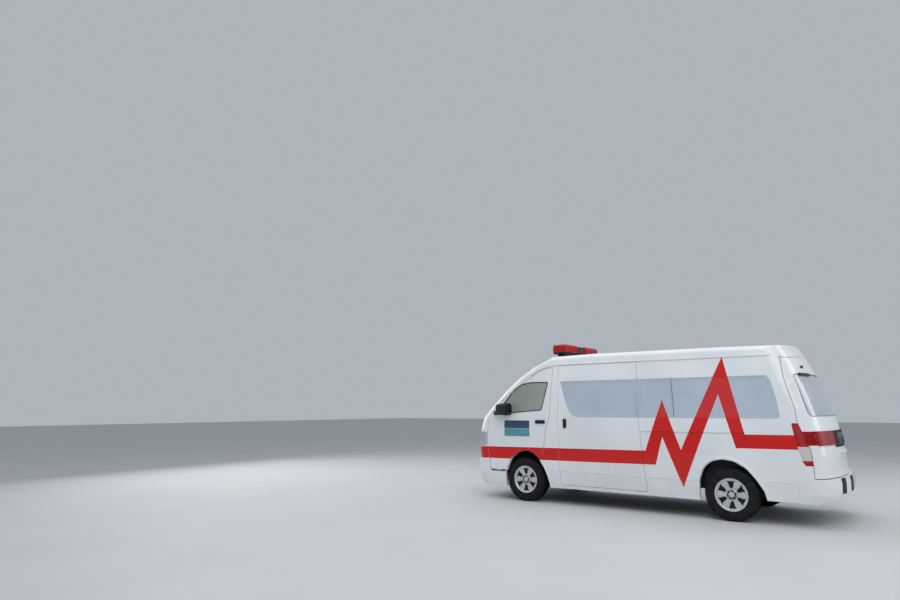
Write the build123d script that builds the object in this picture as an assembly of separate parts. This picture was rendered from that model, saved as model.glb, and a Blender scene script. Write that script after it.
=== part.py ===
import math
import os

from build123d import *

# Millimetres. +X forward, +Y left, +Z up, origin on the ground under the middle of the van.

# Driving sizes of the whole van
LENGTH = 5380.0
HALF_WIDTH = 940.0
ROOF_Z = 2300.0
FRONT_AXLE_X = 1675.0
REAR_AXLE_X = -1435.0
FRONT_TRACK = 1655.0
REAR_TRACK = 1650.0
SILL_Z = 240.0
GUTTER_Z = 2135.0
BELT_Z = 1115.0
SCREEN_BASE_Z = 1300.0

# Sheet, glass and gaps
WALL = 45.0
GLASS = 5.0
GLASS_SET = 7.0
SEAL_GAP = 0.4
PANEL_GAP = 5.0
DOOR_GAP = 7.0
SEAT = 0.3

# Bows of the nose and tail in plan
NOSE_BOW = 4500.0
TAIL_BOW = 3000.0
ROOF_CROWN = 12000.0
ROOF_EDGE = 110.0

# Wheels and tyres
TYRE_RADIUS = 335.0
TYRE_WIDTH = 195.0
BEAD_RADIUS = 196.0
RIM_FLANGE = 208.0
RIM_WALL = 8.0
SPINDLE_RADIUS = 22.0
RUNNING_FIT = 0.05
HUB_RADIUS = 58.0
COVER_HOLES = 6
KINGPIN_Y = 780.0
BALL_RISE = 145.0
ARM_THICK = 26.0
ARM_WINDOW = 75.0

# Floor and chassis
FLOOR_Z = 580.0
FLOOR_THICK = 36.0
FOOTWELL_Z = 480.0
RISER_Z = 808.0
RISER_REAR_X = 1165.0
RISER_FRONT_X = 2062.0
PLATE = 16.0
RAIL_Y = 440.0
RAIL_WIDTH = 64.0
RAIL_HEIGHT = 110.0
SILL_BOX = 60.0
FLOOR_SIDE_GAP = 20.0
HOUSE_INNER_FRONT_Y = 540.0
HOUSE_INNER_REAR_Y = 690.0
TOW_FRONT_X = 2410.0
TOW_REAR_X = -2390.0
TOW_Z = 380.0
TOW_BORE = 20.0
TOW_RIM = 40.0
TOW_THICK = 18.0

# Openings on the sides, in side view
SCREEN_RADIUS = 70.0
SLIDE_REAR_X = -240.0
RAIL_SLOT = 18.0
SLOT_DEPTH = 12.0

# Light bar
BAR_X = 1190.0
BAR_HALF = 600.0
BAR_FORE_AFT = 270.0
BAR_BASE_Z = 2324.0
BAR_BASE = 26.0
DOME_RISE = 128.0
SPEAKER_HALF = 120.0

# Plan sections of the body, from sill to roof
BODY_LEVELS = (
    # z, nose setback, tail setback, side setback, front corner, rear corner
    (SILL_Z - 5, 80, 130, 40, 130, 240),
    (520, 38, 52, 5, 130, 270),
    (850, 10, 60, 0, 140, 280),
    (BELT_Z, 34, 103, 1, 165, 280),
    (1290, 79, 138, 10, 185, 280),
    (1430, 201, 166, 20, 200, 280),
    (1720, 503, 258, 45, 200, 270),
    (1930, 755, 352, 68, 200, 260),
    (2100, 1025, 428, 91, 200, 240),
    (ROOF_Z + 40, 1560, 555, 124, 200, 190),
)

# Drop of the roof ridge along the van
RIDGE = (
    # x, drop
    (LENGTH / 2, 215),
    (1800, 62),
    (1250, 14),
    (500, 0),
    (-1350, 8),
    (-2250, 26),
    (-LENGTH / 2, 50),
)

FRONT_BUMPER_LEVELS = (
    # z, nose setback, side setback, corner
    (212, 110, 50, 130),
    (300, 30, 22, 120),
    (480, 0, 4, 110),
    (650, 4, 0, 110),
)
BUMPER_THICK = 60.0
BUMPER_TOP_Z = 640.0
BUMPER_REAR_X = 2042.0

REAR_BUMPER_LEVELS = (
    # z, tail setback, side setback, corner
    (290, 45, 26, 250),
    (400, 5, 4, 260),
    (520, 0, 0, 270),
    (590, 10, 0, 270),
)
REAR_BUMPER_TOP_Z = 586.0
REAR_FOOT_Z = 294.0
REAR_BUMPER_FRONT_X = -2235.0


def face_of(points, corner):
    """Closed flat face, with its corners rounded where a radius is given."""
    if corner:
        return make_face(FilletPolyline(*points, radius=corner, close=True))
    return make_face(Polyline(*points, close=True))


def side_prism(points, y_low, y_high, corner=0):
    """Outline in side view (x, z) pushed across the van."""
    face = Pos(0, y_low, 0) * (Plane.XZ * face_of(points, corner))
    return extrude(face, amount=y_high - y_low, dir=(0, 1, 0))


def front_prism(points, x_low, x_high, corner=0):
    """Outline in front view (y, z) pushed along the van."""
    face = Pos(x_low, 0, 0) * (Plane.YZ * face_of(points, corner))
    return extrude(face, amount=x_high - x_low, dir=(1, 0, 0))


def plan_prism(points, z_low, z_high, corner=0):
    """Outline in plan (x, y) pushed up."""
    return extrude(Pos(0, 0, z_low) * face_of(points, corner), amount=z_high - z_low)


def block(x, y, z):
    """Box between two values on each axis."""
    size = [high - low for low, high in (x, y, z)]
    centre = [(low + high) / 2 for low, high in (x, y, z)]
    return Pos(*centre) * Box(*size)


def rod(radius, start, end):
    """Round bar between two points."""
    a, b = Vector(*start), Vector(*end)
    return extrude(Plane(a, z_dir=b - a) * Circle(radius), amount=(b - a).length)


def mirrored(shape):
    return mirror(shape, about=Plane.XZ)


def corner_mid(centre, radius, a, b):
    """Middle of the arc round a centre, between two of its points."""
    vx, vy = a[0] + b[0] - 2 * centre[0], a[1] + b[1] - 2 * centre[1]
    length = math.hypot(vx, vy)
    return (centre[0] + radius * vx / length, centre[1] + radius * vy / length)


def plan_section(z, nose, tail, half, nose_corner, tail_corner):
    """Flat section of the body: bowed nose and tail, straight sides, round corners."""

    def end(x, sign, bow, corner):
        centre = x - sign * bow
        reach = math.sqrt((bow - corner) ** 2 - (half - corner) ** 2)
        corner_x = centre + sign * reach
        share = bow / (bow - corner)
        touch = (centre + sign * reach * share, (half - corner) * share)
        flank = (corner_x, half)
        middle = corner_mid((corner_x, half - corner), corner, touch, flank)
        return touch, middle, flank

    nose_touch, nose_mid, nose_flank = end(nose, 1, NOSE_BOW, nose_corner)
    tail_touch, tail_mid, tail_flank = end(tail, -1, TAIL_BOW, tail_corner)

    def left(point):
        return (point[0], point[1], z)

    def right(point):
        return (point[0], -point[1], z)

    return Face(
        Wire(
            [
                ThreePointArc(right(nose_touch), (nose, 0, z), left(nose_touch)),
                ThreePointArc(left(nose_touch), left(nose_mid), left(nose_flank)),
                Line(left(nose_flank), left(tail_flank)),
                ThreePointArc(left(tail_flank), left(tail_mid), left(tail_touch)),
                ThreePointArc(left(tail_touch), (tail, 0, z), right(tail_touch)),
                ThreePointArc(right(tail_touch), right(tail_mid), right(tail_flank)),
                Line(right(tail_flank), right(nose_flank)),
                ThreePointArc(right(nose_flank), right(nose_mid), right(nose_touch)),
            ]
        )
    )


def roof_section(x, drop, inset):
    """Cross-section that trims the body to the roof: crown, rounded edges, open sides."""
    top = ROOF_Z - drop - inset
    half = HALF_WIDTH - 98.0 - inset
    edge = ROOF_EDGE - inset
    side_tilt, crown_tilt = math.radians(8.25), math.radians(3.5)
    crown_y = half - edge * (math.cos(side_tilt) - math.sin(crown_tilt))
    crown_z = top - crown_y**2 / (2 * ROOF_CROWN)
    centre = (crown_y - edge * math.sin(crown_tilt), crown_z - edge * math.cos(crown_tilt))
    low = (
        centre[0] + edge * math.cos(side_tilt),
        centre[1] + edge * math.sin(side_tilt),
    )
    middle_tilt = (side_tilt + math.pi / 2 - crown_tilt) / 2
    middle = (
        centre[0] + edge * math.cos(middle_tilt),
        centre[1] + edge * math.sin(middle_tilt),
    )
    out = (HALF_WIDTH + 60, low[1] - (HALF_WIDTH + 60 - low[0]) / math.tan(side_tilt) / 8)

    def at(point, sign):
        return (x, sign * point[0], point[1])

    return Face(
        Wire(
            [
                Line((x, -out[0], 0), (x, out[0], 0)),
                Line((x, out[0], 0), at(out, 1)),
                Line(at(out, 1), at(low, 1)),
                ThreePointArc(at(low, 1), at(middle, 1), at((crown_y, crown_z), 1)),
                ThreePointArc(at((crown_y, crown_z), 1), (x, 0, top), at((crown_y, crown_z), -1)),
                ThreePointArc(at((crown_y, crown_z), -1), at(middle, -1), at(low, -1)),
                Line(at(low, -1), at(out, -1)),
                Line(at(out, -1), (x, -out[0], 0)),
            ]
        )
    )


def envelope(inset):
    """Solid form of the body up to an open top, drawn in by an inset."""
    sections = []
    for number, (z, nose, tail, side, nose_corner, tail_corner) in enumerate(BODY_LEVELS):
        stretch = {0: -inset / 2, len(BODY_LEVELS) - 1: inset / 2}.get(number, 0)
        section = plan_section(
            z + stretch,
            LENGTH / 2 - nose - inset,
            -LENGTH / 2 + tail + inset,
            HALF_WIDTH - side - inset,
            max(nose_corner - inset, 20),
            max(tail_corner - inset, 20),
        )
        sections.append(section)
    return loft(sections, ruled=True)


def roofed(inset):
    """The body's form closed by its crowned roof."""
    ridge = [roof_section(x, drop, inset) for x, drop in RIDGE]
    return envelope(inset) & loft(ridge, ruled=True)


FAR = 1300.0
UNDER_SILL = block((-LENGTH, LENGTH), (-FAR, FAR), (0, SILL_Z))
OVER_GUTTER = block((-LENGTH, LENGTH), (-FAR, FAR), (GUTTER_Z - SEAT, ROOF_Z + 200))
UNDER_ROOF = block((-LENGTH, LENGTH), (-FAR, FAR), (0, GUTTER_Z))
SHELL = ((envelope(0) - UNDER_SILL) - OVER_GUTTER) - envelope(WALL)
PANE_OUTER = envelope(GLASS_SET)
PANE_INNER = envelope(GLASS_SET + GLASS)


def pane_in(space):
    """Glass sheet of the body's form inside a space."""
    return (PANE_OUTER & space) - PANE_INNER


# Outlines in side view
TAILGATE_SEAM = (
    # x, z
    (-2092, GUTTER_Z + 60),
    (-2112, 2100),
    (-2152, 1830),
    (-2262, 1420),
    (-2268, 1285),
    (-2304, 1190),
    (-2344, 1054),
    (-2395, 936),
    (-2411, 746),
    (-2411, 500),
)
FRONT_DOOR = (
    (1158, 2092),
    (1290, 2082),
    (1420, 2036),
    (1600, 1924),
    (1900, 1728),
    (2130, 1560),
    (2316, 1390),
    (2378, 1254),
    (2390, 925),
    (2376, 795),
    (2346, 640),
    (2338, 460),
    (1960, 460),
    (1500, 600),
    (1348, 720),
    (1306, 894),
    (1280, 1110),
    (1206, 1328),
    (1180, 1800),
)
FRONT_WINDOW = (
    (1244, 1856),
    (1355, 1418),
    (1918, 1374),
    (2222, 1352),
    (2050, 1548),
    (1880, 1738),
    (1740, 1832),
    (1560, 1858),
)
SLIDE_DOOR = (
    (1068, 2118),
    (-222, 2118),
    (-238, 1310),
    (-262, 1040),
    (-320, 290),
    (1046, 290),
    (1064, 1266),
)
SLIDE_WINDOW = ((1010, 1848), (950, 1634), (862, 1410), (770, 1328), (-188, 1328), (-180, 1848))
REAR_PANES = (
    # front top x, front bottom x, rear top x, rear bottom x
    (-285, -296, -708, -738),
    (-744, -774, -1962, -2070),
)
PANE_TOP_Z = 1848.0
PANE_BOTTOM_Z = 1328.0
RIGHT_PANES = (
    (1000, 790, -180, -188),
    (-236, -246, -708, -738),
    (-744, -774, -1962, -2070),
)
ARCH_FOOT_Z = -20.0
ARCH_CORNER = 220.0
FRONT_ARCH = (
    (2032, ARCH_FOOT_Z),
    (2032, 320),
    (2010, 480),
    (1930, 650),
    (1810, 748),
    (1675, 782),
    (1540, 768),
    (1420, 680),
    (1310, 504),
    (1250, 330),
    (1216, ARCH_FOOT_Z),
)
REAR_ARCH = (
    (-1034, ARCH_FOOT_Z),
    (-1034, 320),
    (-1046, 500),
    (-1108, 662),
    (-1215, 752),
    (-1357, 782),
    (-1498, 762),
    (-1640, 682),
    (-1756, 544),
    (-1840, 403),
    (-1924, ARCH_FOOT_Z),
)


def inset_side_prism(points, y_low, y_high, corner, amount):
    """Side prism of an outline drawn in by an amount, so that it fits in its opening."""
    face = offset(face_of(points, corner), -amount)
    placed = Pos(0, y_low, 0) * (Plane.XZ * face)
    return extrude(placed, amount=y_high - y_low, dir=(0, 1, 0))


# The front housing is longer than its arch, for the steered wheel
FRONT_HOUSE = tuple((x + 24 if x > FRONT_AXLE_X + 200 else x, z) for x, z in FRONT_ARCH)


def pane_outline(front_top, front_low, rear_top, rear_low):
    return (
        (front_top, PANE_TOP_Z),
        (front_low, PANE_BOTTOM_Z),
        (rear_low, PANE_BOTTOM_Z),
        (rear_top, PANE_TOP_Z),
    )


HOUSE_OUTER_Y = HALF_WIDTH + 60
NODES = {}


def arches():
    """The four wheel openings, cut through the sides and what lies behind them."""
    front = side_prism(FRONT_ARCH, HOUSE_INNER_FRONT_Y + PLATE, HOUSE_OUTER_Y, ARCH_CORNER)
    rear = side_prism(REAR_ARCH, HOUSE_INNER_REAR_Y + PLATE, HOUSE_OUTER_Y, ARCH_CORNER)
    return front, rear


FRONT_HOLE, REAR_HOLE = arches()
BOTH_HOLES = [FRONT_HOLE, REAR_HOLE, mirrored(FRONT_HOLE), mirrored(REAR_HOLE)]

# The tailgate swings about a line across the rear header of the roof
HATCH_X = -2170.0
HATCH_Z = 2190.0
HATCH_LIP = 97.0
HINGE_Y = 330.0
HINGE_WIDTH = 26.0
PIN_RADIUS = 8.0


def tailgate_zone(gap):
    """Everything behind the tailgate seam and outside the lip round its hinge line."""
    back = -LENGTH / 2 - 80
    points = [(x - gap, z) for x, z in TAILGATE_SEAM] + [(back, 500), (back, GUTTER_Z + 60)]
    zone = side_prism(points, -FAR, FAR)
    lip = Pos(HATCH_X, 0, HATCH_Z) * Rot(90, 0, 0) * Cylinder(HATCH_LIP + gap, 2 * FAR)
    above = block((back, -1500), (-FAR, FAR), (HATCH_Z, ROOF_Z + 200))
    return zone - lip - above


def hinge_arms():
    """Tailgate arms with an eye at the hinge line, their notches in the header and the pins."""
    arms, notches, pins = [], [], []
    reach, lean = HATCH_LIP + 18, 62.0
    for y in (-HINGE_Y, HINGE_Y):
        eye = Pos(0, y, 0) * Rot(90, 0, 0) * Cylinder(2 * PIN_RADIUS + 2, HINGE_WIDTH)
        bar = Rot(0, -lean, 0) * Pos(-reach / 2, y, 0) * Box(reach, HINGE_WIDTH, 2 * PIN_RADIUS)
        bore = Pos(0, y, 0) * Rot(90, 0, 0) * Cylinder(PIN_RADIUS + RUNNING_FIT, 2 * HINGE_WIDTH)
        arms.append(Pos(HATCH_X, 0, HATCH_Z) * ((eye + bar) - bore))
        ends = [(HATCH_X, y + s * HINGE_WIDTH, HATCH_Z) for s in (-1, 1)]
        pins.append(rod(PIN_RADIUS, *ends))
        notches.append(
            block(
                (HATCH_X - HATCH_LIP - 60, HATCH_X + 2 * PIN_RADIUS + 8),
                (y - HINGE_WIDTH / 2 - DOOR_GAP, y + HINGE_WIDTH / 2 + DOOR_GAP),
                (HATCH_Z - HATCH_LIP - 30, HATCH_Z + 54),
            )
        )
    return arms, notches, pins


def body_panels():
    left = block((-LENGTH, LENGTH), (0, FAR), (0, ROOF_Z + 200))

    # Roof, and the tailgate that wraps round the tail below it
    roof = (roofed(0) - UNDER_ROOF) - roofed(WALL)
    hatch = tailgate_zone(0)
    arms, notches, pins = hinge_arms()
    gate_low = REAR_BUMPER_TOP_Z + PANEL_GAP + 3
    gate = SHELL & tailgate_zone(PANEL_GAP + 1)
    gate = gate - block((-LENGTH, 0), (-FAR, FAR), (0, gate_low))
    NODES["tailgate"] = (gate - rear_window_prism(0)) + arms
    NODES["tailgate_glass"] = pane_in(rear_window_prism(SEAL_GAP))

    # What is left, with the windscreen opening
    skin = SHELL - hatch - notches
    edge = HINGE_Y - HINGE_WIDTH / 2 - DOOR_GAP
    header_space = block((-LENGTH, HATCH_X + 60), (-edge, edge), (HATCH_Z - 120, GUTTER_Z))
    tie_space = block((-LENGTH, HATCH_X + 60), (4 - edge, edge - 4), (GUTTER_Z - 4, GUTTER_Z + 4))
    header = (skin & header_space) + ((envelope(4) & tie_space) - envelope(WALL - 4))
    skin = skin - header_space
    NODES["roof_panel"] = (roof - hatch - notches) + header + pins
    skin = skin - screen_prism(0)
    for hole in BOTH_HOLES:
        skin = skin - hole

    # Front doors
    door_space = side_prism(FRONT_DOOR, 500, FAR)
    door_body = inset_side_prism(FRONT_DOOR, 500, FAR, 0, DOOR_GAP)
    window = side_prism(FRONT_WINDOW, 500, FAR, 22)
    pane = inset_side_prism(FRONT_WINDOW, 500, FAR, 22, SEAL_GAP)
    door = (skin & door_body) - window
    NODES["front_door_left"] = door
    NODES["front_door_right"] = mirrored(door)
    glass = pane_in(pane)
    NODES["front_glass_left"] = glass
    NODES["front_glass_right"] = mirrored(glass)
    skin = skin - door_space - mirrored(door_space)

    # Bumper zones
    skin = skin - block((BUMPER_REAR_X - 60, LENGTH), (-FAR, FAR), (0, BUMPER_CUT_Z))
    skin = skin - block(
        (-LENGTH, REAR_BUMPER_FRONT_X + SEAT), (-FAR, FAR), (0, REAR_BUMPER_TOP_Z + SEAT)
    )

    skin = skin - block((-LENGTH, REAR_ARCH[-2][0] - 10), (-FAR, FAR), (0, REAR_FOOT_Z))

    # Nose panel between the doors, under the windscreen
    nose_zone = side_prism(
        (
            (2330, SCREEN_BASE_Z),
            (2378, 1254),
            (2390, 925),
            (2376, 795),
            (2346, 640),
            (2346, 0),
            (LENGTH, 0),
            (LENGTH, SCREEN_BASE_Z),
        ),
        -FAR,
        FAR,
    )
    nose = skin & nose_zone
    skin = skin - nose_zone
    lamps = lamp_prisms(0)
    lamp_bodies = lamp_prisms(SEAL_GAP)
    hood_space, hood_body = hood_prisms()
    grille_space, grille_body = grille_prisms()
    NODES["headlamps"] = nose & lamp_bodies
    NODES["hood"] = nose & hood_body
    NODES["grille"] = (nose & grille_body) - grille_slots()
    NODES["front_panel"] = (nose - lamps - hood_space - grille_space) + lid_rest()

    # Tail lamps in the rear corners
    tail_space = side_prism(tail_lamp_outline(0), 500, FAR, 0)
    tail_body = side_prism(tail_lamp_outline(SEAL_GAP), 500, FAR, 0)
    tail_lamp = skin & tail_body
    NODES["tail_lamps"] = Compound(children=solids_of(tail_lamp) + solids_of(mirrored(tail_lamp)))
    skin = skin - tail_space - mirrored(tail_space)

    # Left side: sliding door and windows
    slide_space = side_prism(SLIDE_DOOR, 500, FAR, 12)
    slide_body = inset_side_prism(SLIDE_DOOR, 500, FAR, 12, PANEL_GAP)
    slide_window = side_prism(SLIDE_WINDOW, 500, FAR, 24)
    slide_pane = inset_side_prism(SLIDE_WINDOW, 500, FAR, 24, SEAL_GAP)
    left_skin = skin & left
    right_skin = skin - left
    runner = block(
        (SLIDE_REAR_X - 60, SLIDE_REAR_X + 40),
        (HALF_WIDTH - 2 - SLOT_DEPTH + SEAT, HALF_WIDTH - 4),
        (BELT_Z - RAIL_SLOT / 2 + 2, BELT_Z + RAIL_SLOT / 2 - 2),
    )
    NODES["sliding_door"] = (left_skin & slide_body) - slide_window + runner
    left_skin = left_skin - slide_space
    panes = solids_of(pane_in(slide_pane))
    for row in REAR_PANES:
        outline = pane_outline(*row)
        left_skin = left_skin - side_prism(outline, 500, FAR, 24)
        panes += solids_of(pane_in(inset_side_prism(outline, 500, FAR, 24, SEAL_GAP)))
    slot = block(
        (-1660, SLIDE_REAR_X + 20),
        (HALF_WIDTH - 2 - SLOT_DEPTH, FAR),
        (BELT_Z - RAIL_SLOT / 2, BELT_Z + RAIL_SLOT / 2),
    )
    door_room = block(
        (SLIDE_REAR_X - 90, SLIDE_DOOR[0][0] + PANEL_GAP),
        (HALF_WIDTH - WALL - SILL_BOX / 2, FAR),
        (0, FLOOR_Z),
    )
    NODES["body_side_left"] = (left_skin - slot) + (sill_boxes() - door_room)
    NODES["side_glass_left"] = Compound(children=panes)

    # Right side: fixed wall with windows
    panes = []
    for row in RIGHT_PANES:
        outline = pane_outline(*row)
        right_skin = right_skin - side_prism(outline, -FAR, -500, 24)
        panes += solids_of(pane_in(inset_side_prism(outline, -FAR, -500, 24, SEAL_GAP)))
    NODES["body_side_right"] = right_skin + mirrored(sill_boxes())
    NODES["side_glass_right"] = Compound(children=panes)

    # Windscreen
    NODES["windscreen"] = pane_in(screen_prism(SEAL_GAP))


def sill_boxes():
    """Inner sill and rear quarter boxes of the left side, on which the floor lies."""
    top = FLOOR_Z - FLOOR_THICK
    inner = HALF_WIDTH - WALL - SILL_BOX
    outer = HALF_WIDTH - WALL + 6
    sill = block((REAR_ARCH[0][0] + 60, RISER_REAR_X - 60), (inner, outer), (top - 150, top))
    quarter = block((REAR_BUMPER_FRONT_X + 20, REAR_ARCH[-1][0] - 60), (inner, outer), (top - 90, top))
    return sill + quarter


def solids_of(shape):
    return list(shape.solids())


def screen_prism(amount):
    """Windscreen outline in front view, wider at its base."""
    points = (
        (-792, SCREEN_BASE_Z + 40),
        (792, SCREEN_BASE_Z + 40),
        (700, 2092),
        (-700, 2092),
    )
    face = face_of(points, SCREEN_RADIUS)
    if amount:
        face = offset(face, -amount)
    return extrude(Pos(1200, 0, 0) * (Plane.YZ * face), amount=LENGTH, dir=(1, 0, 0))


def rear_window_prism(amount):
    """Tailgate window outline in rear view."""
    points = ((-838, 1336), (838, 1336), (772, 1880), (-772, 1880))
    face = offset(face_of(points, 60), -amount) if amount else face_of(points, 60)
    return extrude(Pos(-LENGTH, 0, 0) * (Plane.YZ * face), amount=LENGTH - 1700, dir=(1, 0, 0))


BUMPER_CUT_Z = BUMPER_TOP_Z + SEAT


def lamp_prisms(amount):
    """Headlamp outlines in side view, over the front corners."""
    points = ((2436, 1062), (2436, 832), (LENGTH / 2 + 60, 832), (LENGTH / 2 + 60, 1062))
    face = offset(face_of(points, 0), -amount) if amount else face_of(points, 0)
    depth = FAR - LAMP_INNER_Y
    left = extrude(Pos(0, LAMP_INNER_Y + amount, 0) * (Plane.XZ * face), amount=depth, dir=(0, 1, 0))
    return left + mirrored(left)


LAMP_INNER_Y = 560.0
GRILLE_HALF = 552.0
GRILLE_LOW_Z = 800.0
GRILLE_TOP_Z = 948.0
HOOD_HALF = 640.0
HOOD_TOP_Z = 1290.0
HOOD_LOW_Z = 1075.0
HOOD_NECK_Z = 955.0
REST_DEPTH = 26.0


def hood_prisms():
    """The short front lid: its opening and the lid itself."""
    points = (
        (-HOOD_HALF, HOOD_TOP_Z),
        (-HOOD_HALF, HOOD_LOW_Z),
        (-GRILLE_HALF, HOOD_LOW_Z),
        (-GRILLE_HALF, HOOD_NECK_Z),
        (GRILLE_HALF, HOOD_NECK_Z),
        (GRILLE_HALF, HOOD_LOW_Z),
        (HOOD_HALF, HOOD_LOW_Z),
        (HOOD_HALF, HOOD_TOP_Z),
    )
    lid = offset(face_of(points, 0), -(PANEL_GAP + 1), kind=Kind.INTERSECTION)
    lid_solid = extrude(Pos(2000, 0, 0) * (Plane.YZ * lid), amount=LENGTH / 2, dir=(1, 0, 0))
    return front_prism(points, 2000, LENGTH), lid_solid


def lid_rest():
    """Crossbar of the front panel, close behind the lid, which rests against it."""
    inner = envelope(WALL + REST_DEPTH)
    middle = block((2000, LENGTH), (-HOOD_HALF, HOOD_HALF), (HOOD_LOW_Z - 34, HOOD_LOW_Z - 2))
    ends = block((2000, LENGTH), (GRILLE_HALF + 4, HOOD_HALF), (HOOD_LOW_Z - 10, HOOD_LOW_Z - 2))
    bar = (envelope(WALL + SEAT) & middle) - inner
    tie = (envelope(WALL - 2) & ends) - inner
    return [bar, tie, mirrored(tie)]


def grille_prisms():
    low, high = GRILLE_LOW_Z, GRILLE_TOP_Z
    space = block((2000, LENGTH), (-GRILLE_HALF, GRILLE_HALF), (low, high))
    body = block(
        (2000, LENGTH),
        (-GRILLE_HALF + SEAL_GAP, GRILLE_HALF - SEAL_GAP),
        (low + SEAL_GAP, high - SEAL_GAP),
    )
    return space, body


def grille_slots():
    """Level slots right through the grille."""
    slots = []
    count, margin, bar = 4, 18.0, 14.0
    pitch = (GRILLE_TOP_Z - GRILLE_LOW_Z - 2 * margin + bar) / count
    for number in range(count):
        low = GRILLE_LOW_Z + margin + number * pitch
        for sign in (-1, 1):
            inner, outer = 24.0, GRILLE_HALF - 26.0
            y = (inner, outer) if sign > 0 else (-outer, -inner)
            slots.append(block((2000, LENGTH), y, (low, low + pitch - bar)))
    return slots


def tail_lamp_outline(amount):
    """Tail lamp in side view: a fin that widens downwards along the tailgate seam."""
    return (
        (-2212 - amount, 1256 - amount),
        (-2236 - amount, 1090),
        (-2262 - amount, 967),
        (-2300 - amount, 800),
        (-2334 - amount, 742 + amount),
        (-2560, 742 + amount),
        (-2560, 1256 - amount),
    )


body_panels()


def bumpers():
    nose = [
        plan_section(z, LENGTH / 2 - n, -1500, HALF_WIDTH - s, c, 200)
        for z, n, s, c in FRONT_BUMPER_LEVELS
    ]
    hollow = [
        plan_section(
            z, LENGTH / 2 - n - BUMPER_THICK, -1500, HALF_WIDTH - s - WALL, max(c - WALL, 40), 200
        )
        for z, n, s, c in FRONT_BUMPER_LEVELS
    ]
    front = loft(nose, ruled=True) - loft(hollow, ruled=True)
    front = front & block((BUMPER_REAR_X, LENGTH), (-FAR, FAR), (0, BUMPER_TOP_Z))
    step = side_prism(
        ((BUMPER_REAR_X - 60, 452), (2340, 452), (2350, 640), (2350, 700), (BUMPER_REAR_X - 60, 700)),
        -FAR,
        FAR,
    )
    front = front - step
    intake = block((LENGTH / 2 - 200, LENGTH), (-420, 420), (300, 400))
    NODES["front_bumper"] = front - intake

    tail = [
        plan_section(z, 1500, -LENGTH / 2 + t, HALF_WIDTH - s, 200, c)
        for z, t, s, c in REAR_BUMPER_LEVELS
    ]
    hollow = [
        plan_section(
            z, 1500, -LENGTH / 2 + t + BUMPER_THICK, HALF_WIDTH - s - WALL, 200, max(c - WALL, 40)
        )
        for z, t, s, c in REAR_BUMPER_LEVELS
    ]
    rear = loft(tail, ruled=True) - loft(hollow, ruled=True)
    rear = rear & block((-LENGTH, REAR_BUMPER_FRONT_X), (-FAR, FAR), (0, REAR_BUMPER_TOP_Z))
    rear = rear - side_prism(
        ((-2430, 200), (-2430, REAR_FOOT_Z), (-2640, 376), (-LENGTH, 384), (-LENGTH, 200)), -FAR, FAR
    )
    NODES["rear_bumper"] = rear


bumpers()


def floor():
    """Floor, seat riser, wheel housings and chassis rails, pressed as one."""
    rear_x, front_x = -2560.0, 2500.0
    pan = block((rear_x, RISER_REAR_X + PLATE), (-FAR, FAR), (FLOOR_Z - FLOOR_THICK, FLOOR_Z))
    riser = side_prism(
        (
            (RISER_REAR_X, FLOOR_Z - FLOOR_THICK),
            (RISER_REAR_X, RISER_Z),
            (RISER_FRONT_X + PLATE, RISER_Z),
            (RISER_FRONT_X + PLATE, FOOTWELL_Z),
            (front_x, FOOTWELL_Z),
            (front_x, FOOTWELL_Z - PLATE),
            (RISER_FRONT_X, FOOTWELL_Z - PLATE),
            (RISER_FRONT_X, RISER_Z - PLATE),
            (RISER_REAR_X + PLATE, RISER_Z - PLATE),
            (RISER_REAR_X + PLATE, FLOOR_Z - FLOOR_THICK),
        ),
        -FAR,
        FAR,
    )
    body = pan + riser
    house_front = inset_side_prism(FRONT_HOUSE, HOUSE_INNER_FRONT_Y, FAR, ARCH_CORNER, -PLATE)
    house_rear = inset_side_prism(REAR_ARCH, HOUSE_INNER_REAR_Y, FAR, ARCH_CORNER, -PLATE)
    room = block((-LENGTH, LENGTH), (-FAR, FAR), (FLOOR_Z - 200, RISER_Z - 1))
    for house in (house_front, house_rear):
        body = body + (house & room) + (mirrored(house) & room)
    cab_hole = side_prism(FRONT_HOUSE, HOUSE_INNER_FRONT_Y + PLATE, FAR, ARCH_CORNER)
    arm_low = TYRE_RADIUS + BALL_RISE - 14
    arm_window = block(
        (FRONT_AXLE_X - ARM_WINDOW, FRONT_AXLE_X + ARM_WINDOW),
        (RAIL_Y + RAIL_WIDTH, HOUSE_INNER_FRONT_Y + 2 * PLATE),
        (arm_low, arm_low + 2 * ARM_THICK),
    )
    for hole in (cab_hole, REAR_HOLE, arm_window):
        body = body - hole - mirrored(hole)
    for sign in (-1, 1):
        y = sorted((sign * (RAIL_Y - RAIL_WIDTH / 2), sign * (RAIL_Y + RAIL_WIDTH / 2)))
        low = FLOOR_Z - FLOOR_THICK - RAIL_HEIGHT
        body = body + block((rear_x + 120, RISER_FRONT_X + PLATE), y, (low, FLOOR_Z - FLOOR_THICK + 1))
        body = body + block((RISER_FRONT_X, front_x - 60), y, (low, FOOTWELL_Z - PLATE / 2))
    return body & cabin_plan()


def tow_eyes():
    """Towing eyes: an angle plate under each end of the left rail, with an upright bore."""
    top = FLOOR_Z - FLOOR_THICK - RAIL_HEIGHT - SEAT
    eye_y = RAIL_Y - TOW_THICK / 2 - TOW_RIM
    eyes = []
    for x in (TOW_FRONT_X, TOW_REAR_X):
        web = block(
            (x - TOW_RIM, x + TOW_RIM),
            (RAIL_Y - TOW_THICK / 2, RAIL_Y + TOW_THICK / 2),
            (TOW_Z - TOW_THICK / 2, top),
        )
        tab = block(
            (x - TOW_RIM, x + TOW_RIM),
            (eye_y, RAIL_Y),
            (TOW_Z - TOW_THICK / 2, TOW_Z + TOW_THICK / 2),
        )
        rim = Pos(x, eye_y, TOW_Z) * Cylinder(TOW_RIM, TOW_THICK)
        bore = Pos(x, eye_y, TOW_Z) * Cylinder(TOW_BORE, 2 * TOW_THICK)
        eyes += solids_of((web + tab + rim) - bore)
    return Compound(children=eyes)


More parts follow.
